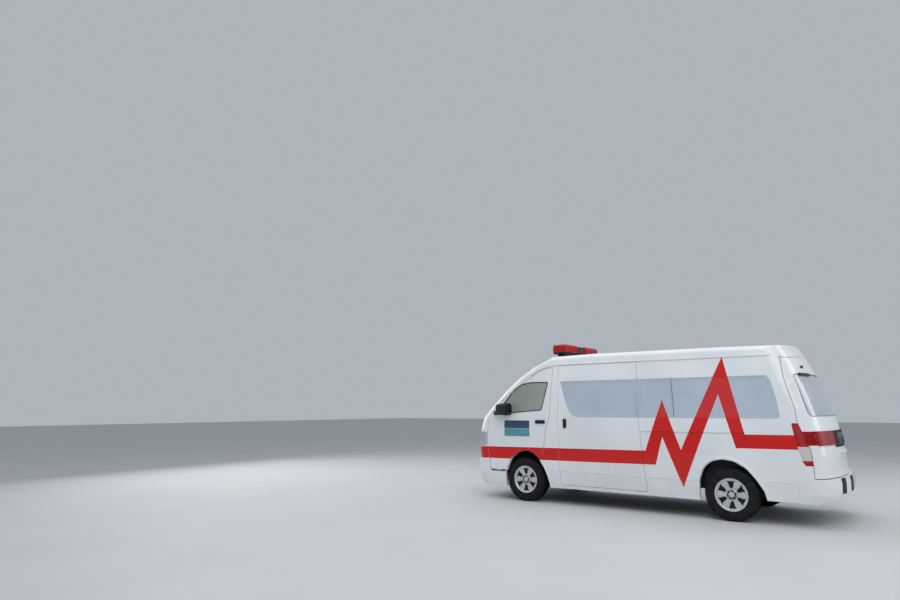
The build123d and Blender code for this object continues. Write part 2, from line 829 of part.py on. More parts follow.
def cabin_plan():
    """Room inside the walls in plan, with rounded corners and a gap all round."""
    half = HALF_WIDTH - WALL - 5 - FLOOR_SIDE_GAP
    nose, tail = LENGTH / 2 - 150, -LENGTH / 2 + 150
    outline = (
        (nose, -half + 260),
        (nose, half - 260),
        (nose - 90, half),
        (tail + 260, half),
        (tail, half - 240),
        (tail, -half + 240),
        (tail + 260, -half),
        (nose - 90, -half),
    )
    return plan_prism(outline, 0, ROOF_Z, 40)


NODES["floor_pan"] = floor()
NODES["tow_eyes"] = tow_eyes()


def tyre():
    """Tyre about its own Y axis, with round shoulders and bulging walls."""
    half = TYRE_WIDTH / 2
    r, bead = TYRE_RADIUS, BEAD_RADIUS
    profile = Polyline(
        (bead, -half + 12),
        (bead + 30, -half + 3),
        (bead + 70, -half),
        (r - 36, -half + 6),
        (r - 8, -half + 26),
        (r, -half + 52),
        (r, half - 52),
        (r - 8, half - 26),
        (r - 36, half - 6),
        (bead + 70, half),
        (bead + 30, half - 3),
        (bead, half - 12),
        close=True,
    )
    return revolve(Plane.XY * make_face(profile), Axis.Y)


def wheel():
    """Rim with its pressed cover: barrel, dished face with holes, hub and brake disc."""
    half = TYRE_WIDTH / 2
    r = BEAD_RADIUS - SEAT
    t = RIM_WALL
    barrel = revolve(
        make_face(
            Polyline(
                (r - t, -half + 2),
                (r - t, half - 14),
                (RIM_FLANGE - t, half - 2),
                (RIM_FLANGE, half - 2),
                (RIM_FLANGE, half - 7),
                (r, half - 9),
                (r, -half + 9),
                (RIM_FLANGE, -half + 2),
                close=True,
            )
        ),
        Axis.Y,
    )
    face_profile = Polyline(
        (SPINDLE_RADIUS + RUNNING_FIT, -12),
        (HUB_RADIUS, -12),
        (HUB_RADIUS, 46),
        (150, 58),
        (r - t + 1, 66),
        (r - t + 1, 78),
        (150, 76),
        (62, 62),
        (44, 76),
        (0, 80),
        (0, 58),
        (SPINDLE_RADIUS + RUNNING_FIT, 58),
        close=True,
    )
    face = revolve(make_face(face_profile), Axis.Y)
    hole = Pos(0, 40, 0) * Rot(-90, 0, 0) * extrude(
        make_face(FilletPolyline((92, -20), (162, -38), (162, 38), (92, 20), radius=9, close=True)),
        amount=60,
    )
    for number in range(COVER_HOLES):
        face = face - Rot(0, 30 + number * 360 / COVER_HOLES, 0) * hole
    disc = Pos(0, -14, 0) * Rot(90, 0, 0) * Cylinder(132, 18)
    disc = disc - Pos(0, -14, 0) * Rot(90, 0, 0) * Cylinder(SPINDLE_RADIUS + RUNNING_FIT, 30)
    return barrel + face + disc


WHEEL, TYRE = wheel(), tyre()
WHEEL_PLACES = (
    # name, x, track, side
    ("front_left", FRONT_AXLE_X, FRONT_TRACK, 1),
    ("front_right", FRONT_AXLE_X, FRONT_TRACK, -1),
    ("rear_left", REAR_AXLE_X, REAR_TRACK, 1),
    ("rear_right", REAR_AXLE_X, REAR_TRACK, -1),
)
for place, x, track, side in WHEEL_PLACES:
    spot = Pos(x, track / 2, TYRE_RADIUS)
    for kind, shape in (("tyre", TYRE), ("wheel", WHEEL)):
        placed = spot * shape
        NODES[f"{kind}_{place}"] = placed if side > 0 else mirrored(placed)


def knuckle():
    """Left steering knuckle: upright with two ball seats, spindle and steering arm."""
    x, z = FRONT_AXLE_X, TYRE_RADIUS
    hub_y = FRONT_TRACK / 2
    upright = block((x - 26, x + 26), (KINGPIN_Y - 20, KINGPIN_Y + 14), (z - BALL_RISE, z + BALL_RISE))
    spindle = rod(SPINDLE_RADIUS, (x, KINGPIN_Y, z), (x, hub_y + 54, z))
    boss = rod(42, (x, KINGPIN_Y, z), (x, hub_y - 26, z))
    arm = block((x - 120, x), (KINGPIN_Y - 20, KINGPIN_Y + 2), (z - 75, z - 51))
    return upright + spindle + boss + arm


NODES["knuckle_left"] = knuckle()
NODES["knuckle_right"] = mirrored(NODES["knuckle_left"])


def front_suspension():
    """Crossmember with upper and lower arms out to the ball seats, and the steering rack."""
    x, z = FRONT_AXLE_X, TYRE_RADIUS
    rail_low = FLOOR_Z - FLOOR_THICK - RAIL_HEIGHT
    reach = RAIL_Y + RAIL_WIDTH / 2 + 8
    beam = block((x - 60, x + 60), (-reach, reach), (z - BALL_RISE - 40, z - 70))
    legs = [
        block((x - 60, x + 60), sorted((s * (RAIL_Y - 30), s * (RAIL_Y + 30))), (z - 160, rail_low))
        for s in (-1, 1)
    ]
    low_top = z - BALL_RISE - SEAT
    high_low = z + BALL_RISE + SEAT
    body = beam + legs[0] + legs[1]
    flank = RAIL_Y + RAIL_WIDTH / 2 + SEAT
    for low, high in ((low_top - ARM_THICK, low_top), (high_low, high_low + ARM_THICK)):
        spread = 150 if high < z else ARM_WINDOW - 15
        arm = plan_prism(
            (
                (x - spread, flank),
                (x + spread, flank),
                (x + 26, RAIL_Y + 120),
                (x + 22, KINGPIN_Y + 10),
                (x - 22, KINGPIN_Y + 10),
                (x - 26, RAIL_Y + 120),
            ),
            low,
            high,
        )
        body = body + arm + mirrored(arm)
    rack = rod(26, (x - 190, -330, z - 70), (x - 190, 330, z - 70))
    link = block((x - 200, x), (-40, 40), (z - 110, z - 60))
    return body + rack + link


NODES["front_suspension"] = front_suspension()


def rear_axle():
    """Beam axle with its differential, brake backs and leaf springs."""
    x, z = REAR_AXLE_X, TYRE_RADIUS
    hub_y = REAR_TRACK / 2
    beam = rod(42, (x, -hub_y + 70, z), (x, hub_y - 70, z))
    spindle = rod(SPINDLE_RADIUS, (x, -hub_y - 54, z), (x, hub_y + 54, z))
    bulge = Pos(x, 0, z) * Sphere(135)
    nose = rod(60, (x, 0, z), (x + 190, 0, z + 14))
    body = beam + spindle + bulge + nose
    for sign in (-1, 1):
        back = rod(120, (x, sign * (hub_y - 70), z), (x, sign * (hub_y - 46), z))
        y = sign * (RAIL_Y + RAIL_WIDTH / 2 + 50)
        leaves = spring(x, y)
        body = body + back + leaves
    return body


SPRING_EYE = 14.0


def spring(x, y):
    """One stack of leaves, eye to eye, under its rail, with the hangers that carry it."""
    axle_low = TYRE_RADIUS - 42
    eye_z = 400.0
    front, rear = x + 560, x - 620
    rail_low = FLOOR_Z - FLOOR_THICK
    outer = ThreePointArc((rear, eye_z), (x, axle_low - 36), (front, eye_z))
    top_z = eye_z + SPRING_EYE
    inner = ThreePointArc((front, top_z), (x, axle_low + 4), (rear, top_z))
    front_end, rear_end = Line((front, eye_z), (front, top_z)), Line((rear, top_z), (rear, eye_z))
    face = make_face(Wire([outer, front_end, inner, rear_end]))
    leaf = extrude(Pos(0, y - 30, 0) * (Plane.XZ * face), amount=60, dir=(0, 1, 0))
    hangers = [
        block((at - 26, at + 26), (y - 34, y + 34), (eye_z - 12, rail_low - SEAT)) for at in (front, rear)
    ]
    return leaf + hangers[0] + hangers[1]


NODES["rear_axle"] = rear_axle()


def engine():
    """Engine as one plain block under the seat riser."""
    return block((1180 + PLATE, 1790), (-250, 250), (395, 770))


NODES["engine"] = engine()


def drivetrain():
    """Gearbox behind the engine and the shaft back to the axle."""
    z = 430.0
    case = loft(
        [
            Plane((1180 + PLATE - SEAT, 0, z - 40), z_dir=(-1, 0, 0)) * RectangleRounded(220, 260, 60),
            Plane((760, 0, z - 10), z_dir=(-1, 0, 0)) * RectangleRounded(170, 170, 50),
        ]
    )
    shaft = rod(36, (770, 0, z - 10), (REAR_AXLE_X + 190 + 2, 0, TYRE_RADIUS + 15))
    return case + shaft


NODES["drivetrain"] = drivetrain()


def exhaust():
    """Pipe from the engine to the tail on the right, with its silencer and two hangers."""
    path = FilletPolyline(
        (1150, -285, 330),
        (900, -330, 300),
        (-700, -330, 300),
        (-900, -300, 320),
        (-1150, -300, 440),
        (-1650, -300, 440),
        (-1800, -371, 385),
        (-2120, -371, 380),
        (-2330, -560, 360),
        (-2480, -560, 350),
        radius=60,
    )
    pipe = sweep(Plane(path @ 0, z_dir=path % 0) * Circle(25), path=path)
    silencer = Pos(100, -330, 300) * Rot(0, 90, 0) * extrude(Ellipse(85, 120), amount=330, both=True)
    hangers = []
    for x, z in ((700, 300), (-500, 300)):
        hangers.append(block((x - 12, x + 12), (-340, -320), (z, FLOOR_Z - FLOOR_THICK - SEAT)))
    return pipe + silencer + hangers


NODES["exhaust"] = exhaust()


def fuel_tank():
    """Pressed tank under the left floor, hung on two straps."""
    low, high = 280.0, FLOOR_Z - FLOOR_THICK - RAIL_HEIGHT - 12
    tank = block((-500, 400), (110, 395), (low, high))
    tank = fillet(tank.edges(), 40)
    straps = [
        block((x - 20, x + 20), (180, 330), (high - 20, FLOOR_Z - FLOOR_THICK - SEAT)) for x in (-300, 200)
    ]
    return tank + straps


NODES["fuel_tank"] = fuel_tank()


def spare_wheel():
    """Spare wheel lying under the rear floor on its winch post."""
    x, z = -2130.0, 395.0
    ring = Pos(x, 0, z) * Rot(90, 0, 0) * TYRE
    plate = Pos(x, 0, z + 10) * Cylinder(BEAD_RADIUS + 4, 30)
    post = rod(26, (x, 0, z), (x, 0, FLOOR_Z - FLOOR_THICK - SEAT))
    return ring + plate + post


NODES["spare_wheel"] = spare_wheel()


DRIVER_Y = -430.0
COLUMN_TILT = 62.0
HELM = (2010.0, DRIVER_Y, 1235.0)
SHAFT_RADIUS = 16.0
DASH_GAP = 44.0


def dashboard():
    """Dashboard right across the cab, with its bracket and the steering column."""
    outline = (
        (2440, 1255),
        (2150, 1205),
        (2110, 1120),
        (2160, 900),
        (2330, 800),
        (2470, 800),
        (2560, 1100),
        (2540, 1230),
    )
    body = side_prism(outline, -FAR, FAR, 20)
    foot = block((2330, 2420), (-90, 90), (FOOTWELL_Z + SEAT, 860))
    fixed = ((body + foot) & cabin_plan()) & envelope(WALL + DASH_GAP)
    column = Pos(0, 0, -205) * Cylinder(34, 190)
    bore = Pos(0, 0, -70) * Cylinder(SHAFT_RADIUS + RUNNING_FIT, 100.6)
    return fixed + Pos(*HELM) * Rot(0, COLUMN_TILT - 90, 0) * (column - bore)


NODES["dashboard"] = dashboard()


def seat(y, half):
    """One seat: base, cushion, leaning back and head rest."""
    cushion = block((1400, 1930), (y - half, y + half), (RISER_Z + 70, RISER_Z + 190))
    cushion = fillet(cushion.edges(), 30)
    base = block((1450, 1860), (y - half + 40, y + half - 40), (RISER_Z + SEAT, RISER_Z + 90))
    back = side_prism(((1400, 900), (1500, 900), (1400, 1480), (1310, 1480)), y - half, y + half)
    back = fillet(back.edges(), 26)
    head = block((1300, 1372), (y - 130, y + 130), (1505, 1660))
    head = fillet(head.edges(), 24)
    stem = block((1330, 1350), (y - 60, y + 60), (1460, 1520))
    return cushion + base + back + stem + head


NODES["front_seats"] = Compound(
    children=[s for y, half in ((430, 240), (0, 165), (DRIVER_Y, 240)) for s in solids_of(seat(y, half))]
)


def steering_wheel():
    """Rim, three spokes, boss and the shaft into the column."""
    rim = Torus(180, 15)
    boss = Cylinder(46, 40)
    spokes = [Rot(0, 0, a) * Pos(95, 0, 0) * Box(170, 34, 14) for a in (0, 180, 270)]
    shaft = Pos(0, 0, -70) * Cylinder(SHAFT_RADIUS, 100)
    turned = rim + boss + spokes + shaft
    return Pos(*HELM) * Rot(0, COLUMN_TILT - 90, 0) * turned


NODES["steering_wheel"] = steering_wheel()


def door_trim():
    """Mirror on its foot, and the pull handle of the left front door."""
    plan = ((1864, 970), (1874, 1150), (2030, 1150), (2112, 1096), (2128, 1010), (2070, 970))
    head = plan_prism(plan, 1334, 1532, 24)
    faces = head.faces().sort_by(Axis.Z)
    head = fillet(faces[-1].edges() + faces[0].edges(), 20)
    foot = rod(22, (2085, 1015, 1380), (2216, HALF_WIDTH, 1372))
    plate = block((2170, 2262), (HALF_WIDTH - 40, HALF_WIDTH + 10), (1330, 1408))
    handle = block((1284, 1460), (HALF_WIDTH - 30, HANDLE_OUTER_Y), (1214, 1250))
    handle = fillet(handle.edges(), 11)
    return (head + foot + plate) - OUTER_CLEAR, handle - OUTER_CLEAR


HANDLE_OUTER_Y = 961.0
OUTER_CLEAR = roofed(-2 * SEAT)
MIRROR, HANDLE = door_trim()
NODES["front_trim_left"] = Compound(children=solids_of(MIRROR) + solids_of(HANDLE))
NODES["front_trim_right"] = mirrored(NODES["front_trim_left"])


def slide_handle():
    grip = block((922, 964), (HALF_WIDTH - 30, HANDLE_OUTER_Y), (1146, 1286))
    return fillet(grip.edges(), 11) - OUTER_CLEAR


NODES["side_door_handle"] = slide_handle()


SPEAKER_HEIGHT = 136.0
BAR_FOOT_Y = 480.0


def light_bar():
    """Base on two feet over the roof, with the speaker housing between the domes."""
    base = block(
        (BAR_X - BAR_FORE_AFT / 2 + 10, BAR_X + BAR_FORE_AFT / 2 - 10),
        (-BAR_HALF, BAR_HALF),
        (BAR_BASE_Z, BAR_BASE_Z + BAR_BASE),
    )
    base = fillet(base.edges().filter_by(Axis.Z), 60)
    speaker_z = (BAR_BASE_Z, BAR_BASE_Z + SPEAKER_HEIGHT)
    speaker = block((BAR_X - 110, BAR_X + 110), (-SPEAKER_HALF, SPEAKER_HALF), speaker_z)
    speaker = fillet(speaker.edges().filter_by(Axis.Z), 30)
    feet = [
        block((BAR_X - 60, BAR_X + 60), (y - 30, y + 30), (2150, BAR_BASE_Z + 2))
        for y in (-BAR_FOOT_Y, BAR_FOOT_Y)
    ]
    return (base + speaker + feet) - OUTER_CLEAR


def domes():
    """Two red lenses, one each side of the speaker."""
    length = BAR_HALF - SPEAKER_HALF - 8
    low = BAR_BASE_Z + BAR_BASE + SEAT
    lens = Pos(BAR_X, SPEAKER_HALF + 4 + length / 2, low) * Box(
        BAR_FORE_AFT, length, DOME_RISE, align=(Align.CENTER, Align.CENTER, Align.MIN)
    )
    lens = fillet(lens.edges().filter_by(Axis.Z), 60)
    lens = fillet(lens.faces().sort_by(Axis.Z)[-1].edges(), 50)
    return Compound(children=solids_of(lens) + solids_of(mirrored(lens)))


NODES["light_bar"] = light_bar()
NODES["beacon_domes"] = domes()


def garnish():
    """Red band across the tailgate between the lamps, with a recess for the plate."""
    band = envelope(-14) - envelope(-SEAT)
    zone = block((-LENGTH, -2000), (-830, 830), (985, 1158))
    recess = block((-LENGTH, -2000), (-215, 215), (960, 1150))
    return (band & zone) - recess


NODES["tailgate_garnish"] = garnish()


def tailgate_trim():
    """Blank plate in its recess and the pull ledge below it."""
    plate_skin = envelope(-8) - envelope(-SEAT)
    plate = plate_skin & block((-LENGTH, -2000), (-205, 205), (975, 1140))
    return plate


NODES["tailgate_trim"] = tailgate_trim()


def write(nodes):
    os.makedirs("parts", exist_ok=True)
    for name, shape in nodes.items():
        pieces = solids_of(shape)
        body = pieces[0] if len(pieces) == 1 else Compound(children=pieces)
        export_step(body, f"parts/{name}.step")


write(NODES)
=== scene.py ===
import math

import bmesh
import bpy
from mathutils import Matrix, Vector
from mathutils.bvhtree import BVHTree


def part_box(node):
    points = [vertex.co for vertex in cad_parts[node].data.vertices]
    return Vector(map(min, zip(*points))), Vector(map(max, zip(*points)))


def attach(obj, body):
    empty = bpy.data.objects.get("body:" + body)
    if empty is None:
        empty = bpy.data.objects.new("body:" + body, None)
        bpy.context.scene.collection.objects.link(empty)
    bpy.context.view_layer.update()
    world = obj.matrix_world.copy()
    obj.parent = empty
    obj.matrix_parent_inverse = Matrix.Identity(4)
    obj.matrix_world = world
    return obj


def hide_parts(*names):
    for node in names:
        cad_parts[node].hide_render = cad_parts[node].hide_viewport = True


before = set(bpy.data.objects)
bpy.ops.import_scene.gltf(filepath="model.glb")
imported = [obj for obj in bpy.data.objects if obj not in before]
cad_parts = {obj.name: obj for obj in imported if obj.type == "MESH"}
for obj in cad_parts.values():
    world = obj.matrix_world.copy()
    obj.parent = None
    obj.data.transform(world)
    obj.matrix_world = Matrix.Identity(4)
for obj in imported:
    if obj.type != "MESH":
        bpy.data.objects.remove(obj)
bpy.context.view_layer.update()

# Place, aim and lens of the camera that took the photograph
photoView = {
    "place": (-3.948, 9.962, 1.461),
    "heading": -51.691,
    "pitch": 9.478,
    "roll": -0.184,
    "focalPixels": 644.81,
    "imageWidth": 900,
    "sensor": 36.0,
    "sensor": 36.0,
    "clipEnd": 500,
}
zAxis = Vector((0, 0, 1))


def addObject(name, data):
    made = bpy.data.objects.new(name, data)
    bpy.context.collection.objects.link(made)
    return made


def makeCamera():
    heading, pitch, roll = (math.radians(photoView[key]) for key in ("heading", "pitch", "roll"))
    level = math.cos(pitch)
    ahead = Vector((level * math.cos(heading), level * math.sin(heading), math.sin(pitch)))
    right = ahead.cross(zAxis).normalized()
    up = right.cross(ahead)
    imageRight = math.cos(roll) * right + math.sin(roll) * up
    imageUp = math.cos(roll) * up - math.sin(roll) * right
    data = bpy.data.cameras.new("photoCamera")
    data.sensor_width = photoView["sensor"]
    data.lens = photoView["focalPixels"] * photoView["sensor"] / photoView["imageWidth"]
    data.clip_end = photoView["clipEnd"]
    camera = addObject("photoCamera", data)
    turn = Matrix((imageRight, imageUp, -ahead)).transposed()
    camera.matrix_world = Matrix.Translation(photoView["place"]) @ turn.to_4x4()
    bpy.context.scene.camera = camera


makeCamera()
print("camera ready")


# Node tree helpers
def newMaterial(name, colour, roughness=0.5, metallic=0.0, coat=0.0, specular=0.5):
    material = bpy.data.materials.new(name)
    material.use_nodes = True
    shader = material.node_tree.nodes["Principled BSDF"]
    shader.inputs["Base Color"].default_value = (*colour, 1)
    for key, value in (
        ("Roughness", roughness), ("Metallic", metallic), ("Coat Weight", coat),
        ("Coat Roughness", 0.04), ("Specular IOR Level", specular),
    ):
        shader.inputs[key].default_value = value
    material.diffuse_color = (*colour, 1)
    return material, material.node_tree, shader


def feed(tree, socket, value):
    if isinstance(value, (int, float)):
        socket.default_value = value
    elif isinstance(value, tuple):
        socket.default_value = (*value, 1)
    else:
        tree.links.new(value, socket)


def calc(tree, operation, first, second=0.0):
    node = tree.nodes.new("ShaderNodeMath")
    node.operation = operation
    feed(tree, node.inputs[0], first)
    feed(tree, node.inputs[1], second)
    return node.outputs[0]


def mixColour(tree, share, first, second):
    node = tree.nodes.new("ShaderNodeMix")
    node.data_type = "RGBA"
    feed(tree, node.inputs[0], share)
    feed(tree, node.inputs[6], first)
    feed(tree, node.inputs[7], second)
    return node.outputs[2]


def spread(tree, value, low, high, toLow=0.0, toHigh=1.0):
    node = tree.nodes.new("ShaderNodeMapRange")
    feed(tree, node.inputs[0], value)
    for socket, number in zip(node.inputs[1:5], (low, high, toLow, toHigh)):
        socket.default_value = number
    return node.outputs[0]


def coordinate(tree, kind="Object"):
    return tree.nodes.new("ShaderNodeTexCoord").outputs[kind]


def coordinates(tree, kind="Object"):
    split = tree.nodes.new("ShaderNodeSeparateXYZ")
    tree.links.new(coordinate(tree, kind), split.inputs[0])
    return split.outputs


def noiseAt(tree, scale, detail):
    noise = tree.nodes.new("ShaderNodeTexNoise")
    noise.inputs["Scale"].default_value = scale
    noise.inputs["Detail"].default_value = detail
    tree.links.new(coordinate(tree), noise.inputs["Vector"])
    return noise.outputs[0]


def waveAt(tree, scale, direction, distortion=0.0):
    wave = tree.nodes.new("ShaderNodeTexWave")
    wave.bands_direction = direction
    wave.inputs["Scale"].default_value = scale
    wave.inputs["Distortion"].default_value = distortion
    tree.links.new(coordinate(tree), wave.inputs["Vector"])
    return wave.outputs[1]


def bumpFrom(tree, shader, height, strength, distance):
    bump = tree.nodes.new("ShaderNodeBump")
    bump.inputs["Strength"].default_value = strength
    bump.inputs["Distance"].default_value = distance
    feed(tree, bump.inputs["Height"], height)
    tree.links.new(bump.outputs[0], shader.inputs["Normal"])


def brokenLine(tree, along, points):
    total = None
    for (startAt, startValue), (endAt, endValue) in zip(points, points[1:]):
        base = startValue if total is None else 0.0
        step = spread(tree, along, startAt, endAt, base, base + endValue - startValue)
        total = step if total is None else calc(tree, "ADD", total, step)
    return total


def product(tree, total, *values):
    for value in values:
        total = calc(tree, "MULTIPLY", total, value)
    return total


def between(tree, value, low, high):
    return product(tree, calc(tree, "GREATER_THAN", value, low), calc(tree, "LESS_THAN", value, high))


def farFromMiddle(tree, y, least):
    return calc(tree, "GREATER_THAN", calc(tree, "ABSOLUTE", y), least)


def patches(tree, scale, detail, low=0.3, high=0.7, most=1.0):
    return spread(tree, noiseAt(tree, scale, detail), low, high, 0.0, most)


def tint(tree, shader, share, first, second):
    feed(tree, shader.inputs["Base Color"], mixColour(tree, share, first, second))


def scaled(colour, share):
    return tuple(channel * share for channel in colour)


# Paint of the sides: white, with the red heartbeat stripe and the pale film over the windows
sidePaint = {
    "white": (0.80, 0.82, 0.84),
    "whiteShade": (0.70, 0.72, 0.74),
    "red": (0.60, 0.003, 0.002),
    "film": (0.40, 0.47, 0.55),
    "filmShade": (0.47, 0.53, 0.60),
    "sheetShade": (0.46, 0.53, 0.61),
    "lowerTone": (0.42, 0.40, 0.37),
    "lowerToneHeights": (0.62, 0.25),
    "lowerToneMost": 0.16,
    "stripeUpper": (
        (-2.240, 1.111), (-1.660, 1.107), (-1.419, 2.128), (-0.827, 0.881),
        (-0.587, 1.563), (-0.325, 0.854), (2.564, 0.824),
    ),
    "stripeLower": (
        (-2.261, 0.935), (-1.542, 0.930), (-1.352, 1.627), (-0.829, 0.386),
        (-0.577, 1.048), (-0.463, 0.668), (0.377, 0.657), (2.566, 0.638),
    ),
    "filmFront": ((1.312, 0.740), (1.345, 0.812), (1.397, 0.866), (1.634, 0.961), (1.862, 1.024)),
    "filmRear": ((1.312, -2.068), (1.340, -2.092), (1.581, -2.058), (1.800, -2.004), (1.862, -1.955)),
    "filmHeights": (1.312, 1.862),
    "stripeFromMiddle": 0.70,
    "filmFromMiddle": 0.80,
}


def inStripe(tree, x, y, z):
    lower, upper = (brokenLine(tree, x, sidePaint[key]) for key in ("stripeLower", "stripeUpper"))
    outside = farFromMiddle(tree, y, sidePaint["stripeFromMiddle"])
    return product(tree, between(tree, z, lower, upper), outside)


def inFilm(tree, x, y, z):
    rear, front = (brokenLine(tree, z, sidePaint[key]) for key in ("filmRear", "filmFront"))
    upright = between(tree, z, *sidePaint["filmHeights"])
    outside = farFromMiddle(tree, y, sidePaint["filmFromMiddle"])
    return product(tree, upright, between(tree, x, rear, front), outside)


def facingOut(tree, x, y):
    faceX, faceY = coordinates(tree, "Normal")[:2]
    total = calc(tree, "ADD", product(tree, faceX, x, 0.3), product(tree, faceY, y))
    return calc(tree, "GREATER_THAN", total, 0.0)


def makePaint(name, striped, filmed):
    material, tree, shader = newMaterial(name, sidePaint["white"], 0.28, coat=0.5, specular=0.3)
    x, y, z = coordinates(tree)
    cloudy = noiseAt(tree, 1.3, 5.0)
    colour = mixColour(tree, spread(tree, cloudy, 0.3, 0.7), sidePaint["white"], sidePaint["whiteShade"])
    outward = facingOut(tree, x, y)
    if filmed:
        veil = mixColour(tree, patches(tree, 2.4, 3.0, 0.35), sidePaint["film"], sidePaint["filmShade"])
        colour = mixColour(tree, product(tree, inFilm(tree, x, y, z), outward), colour, veil)
    if striped:
        striping = product(tree, inStripe(tree, x, y, z), outward)
        colour = mixColour(tree, striping, colour, sidePaint["red"])
    # Darker, browner tone towards the bottom of the sides, in noisy patches
    low = spread(tree, z, *sidePaint["lowerToneHeights"])
    lowerToning = product(tree, low, patches(tree, 9.0, 8.0, 0.42, 0.75), sidePaint["lowerToneMost"])
    tint(tree, shader, lowerToning, colour, sidePaint["lowerTone"])
    feed(tree, shader.inputs["Roughness"], spread(tree, cloudy, 0.2, 0.8, 0.24, 0.34))
    bumpFrom(tree, shader, noiseAt(tree, 160.0, 2.0), 0.03, 0.0006)
    return material


# Finishes of everything else
def makeRubber(name, colour=(0.008, 0.008, 0.009), roughness=0.82):
    material, tree, shader = newMaterial(name, colour, roughness, specular=0.22)
    tint(tree, shader, patches(tree, 14.0, 7.0, 0.45, 0.8, 0.25), colour, (0.075, 0.070, 0.064))
    bumpFrom(tree, shader, noiseAt(tree, 420.0, 2.0), 0.25, 0.0008)
    return material


def makePlastic(name, colour, roughness=0.5, grain=600.0, coat=0.0, specular=0.5):
    material, tree, shader = newMaterial(name, colour, roughness, 0.0, coat, specular)
    lighter = tuple(min(1.0, channel * 1.25 + 0.006) for channel in colour)
    tint(tree, shader, patches(tree, 6.0, 5.0), colour, lighter)
    bumpFrom(tree, shader, noiseAt(tree, grain, 2.0), 0.18, 0.0006)
    return material


def makeMetal(name, colour, roughness, metallic=1.0, coat=0.0):
    material, tree, shader = newMaterial(name, colour, roughness, metallic, coat)
    grain = noiseAt(tree, 30.0, 6.0)
    tint(tree, shader, spread(tree, grain, 0.3, 0.75), colour, scaled(colour, 0.72))
    rough = spread(tree, grain, 0.2, 0.8, roughness * 0.8, min(1.0, roughness * 1.3))
    feed(tree, shader.inputs["Roughness"], rough)
    bumpFrom(tree, shader, grain, 0.08, 0.0008)
    return material


def makeGlass(name, colour, alpha, roughness=0.03, specular=0.8):
    material, tree, shader = newMaterial(name, colour, roughness, specular=specular)
    shader.inputs["Alpha"].default_value = alpha
    tint(tree, shader, patches(tree, 2.0, 2.0), colour, scaled(colour, 0.8))
    return material


def makeFilmGlass():
    material, tree, shader = newMaterial("rearFilmGlass", sidePaint["film"], 0.2, coat=1.0)
    z = coordinates(tree)[2]
    veil = mixColour(tree, patches(tree, 2.2, 3.0), (0.33, 0.39, 0.45), (0.42, 0.48, 0.54))
    # Painted shade: the glass darkens towards its bottom edge, fully dark below z 1.30
    tint(tree, shader, spread(tree, z, 1.36, 1.30), veil, (0.25, 0.29, 0.34))
    return material


def makeFilm():
    material, tree, shader = newMaterial("windowFilm", sidePaint["film"], 0.2, coat=1.0)
    x, y, z = coordinates(tree)
    veil = mixColour(tree, patches(tree, 2.0, 3.0), sidePaint["film"], sidePaint["sheetShade"])
    tint(tree, shader, inStripe(tree, x, y, z), veil, sidePaint["red"])
    bumpFrom(tree, shader, noiseAt(tree, 9.0, 4.0), 0.05, 0.002)
    return material


tailLens = {
    "red": (0.50, 0.003, 0.004),
    "deepRed": (0.22, 0.004, 0.006),
    "clear": (0.75, 0.72, 0.70),
    "chrome": (0.38, 0.30, 0.29),
    "clearFrom": 0.803,
    "clearTo": 0.972,
}


def makeTailLens():
    material, tree, shader = newMaterial("tailLens", (0.5, 0.01, 0.01), 0.16, coat=0.2, specular=0.25)
    z = coordinates(tree)[2]
    shape = tailLens
    ribs = waveAt(tree, 46.0, "Z")
    red = mixColour(tree, spread(tree, ribs, 0.2, 0.9), shape["red"], shape["deepRed"])
    facets = spread(tree, waveAt(tree, 38.0, "X"), 0.2, 0.9)
    clear = mixColour(tree, facets, shape["clear"], shape["chrome"])
    tint(tree, shader, between(tree, z, shape["clearFrom"], shape["clearTo"]), red, clear)
    bumpFrom(tree, shader, ribs, 0.3, 0.002)
    return material


def makeFabric(name, colour, thread):
    material, tree, shader = newMaterial(name, colour, 0.9)
    shader.inputs["Sheen Weight"].default_value = 0.25
    weave = product(tree, *(waveAt(tree, 260.0, direction, 0.4) for direction in "XZ"))
    base = mixColour(tree, patches(tree, 11.0, 4.0, 0.35), colour, scaled(colour, 0.82))
    tint(tree, shader, weave, base, thread)
    bumpFrom(tree, shader, weave, 0.35, 0.0015)
    return material


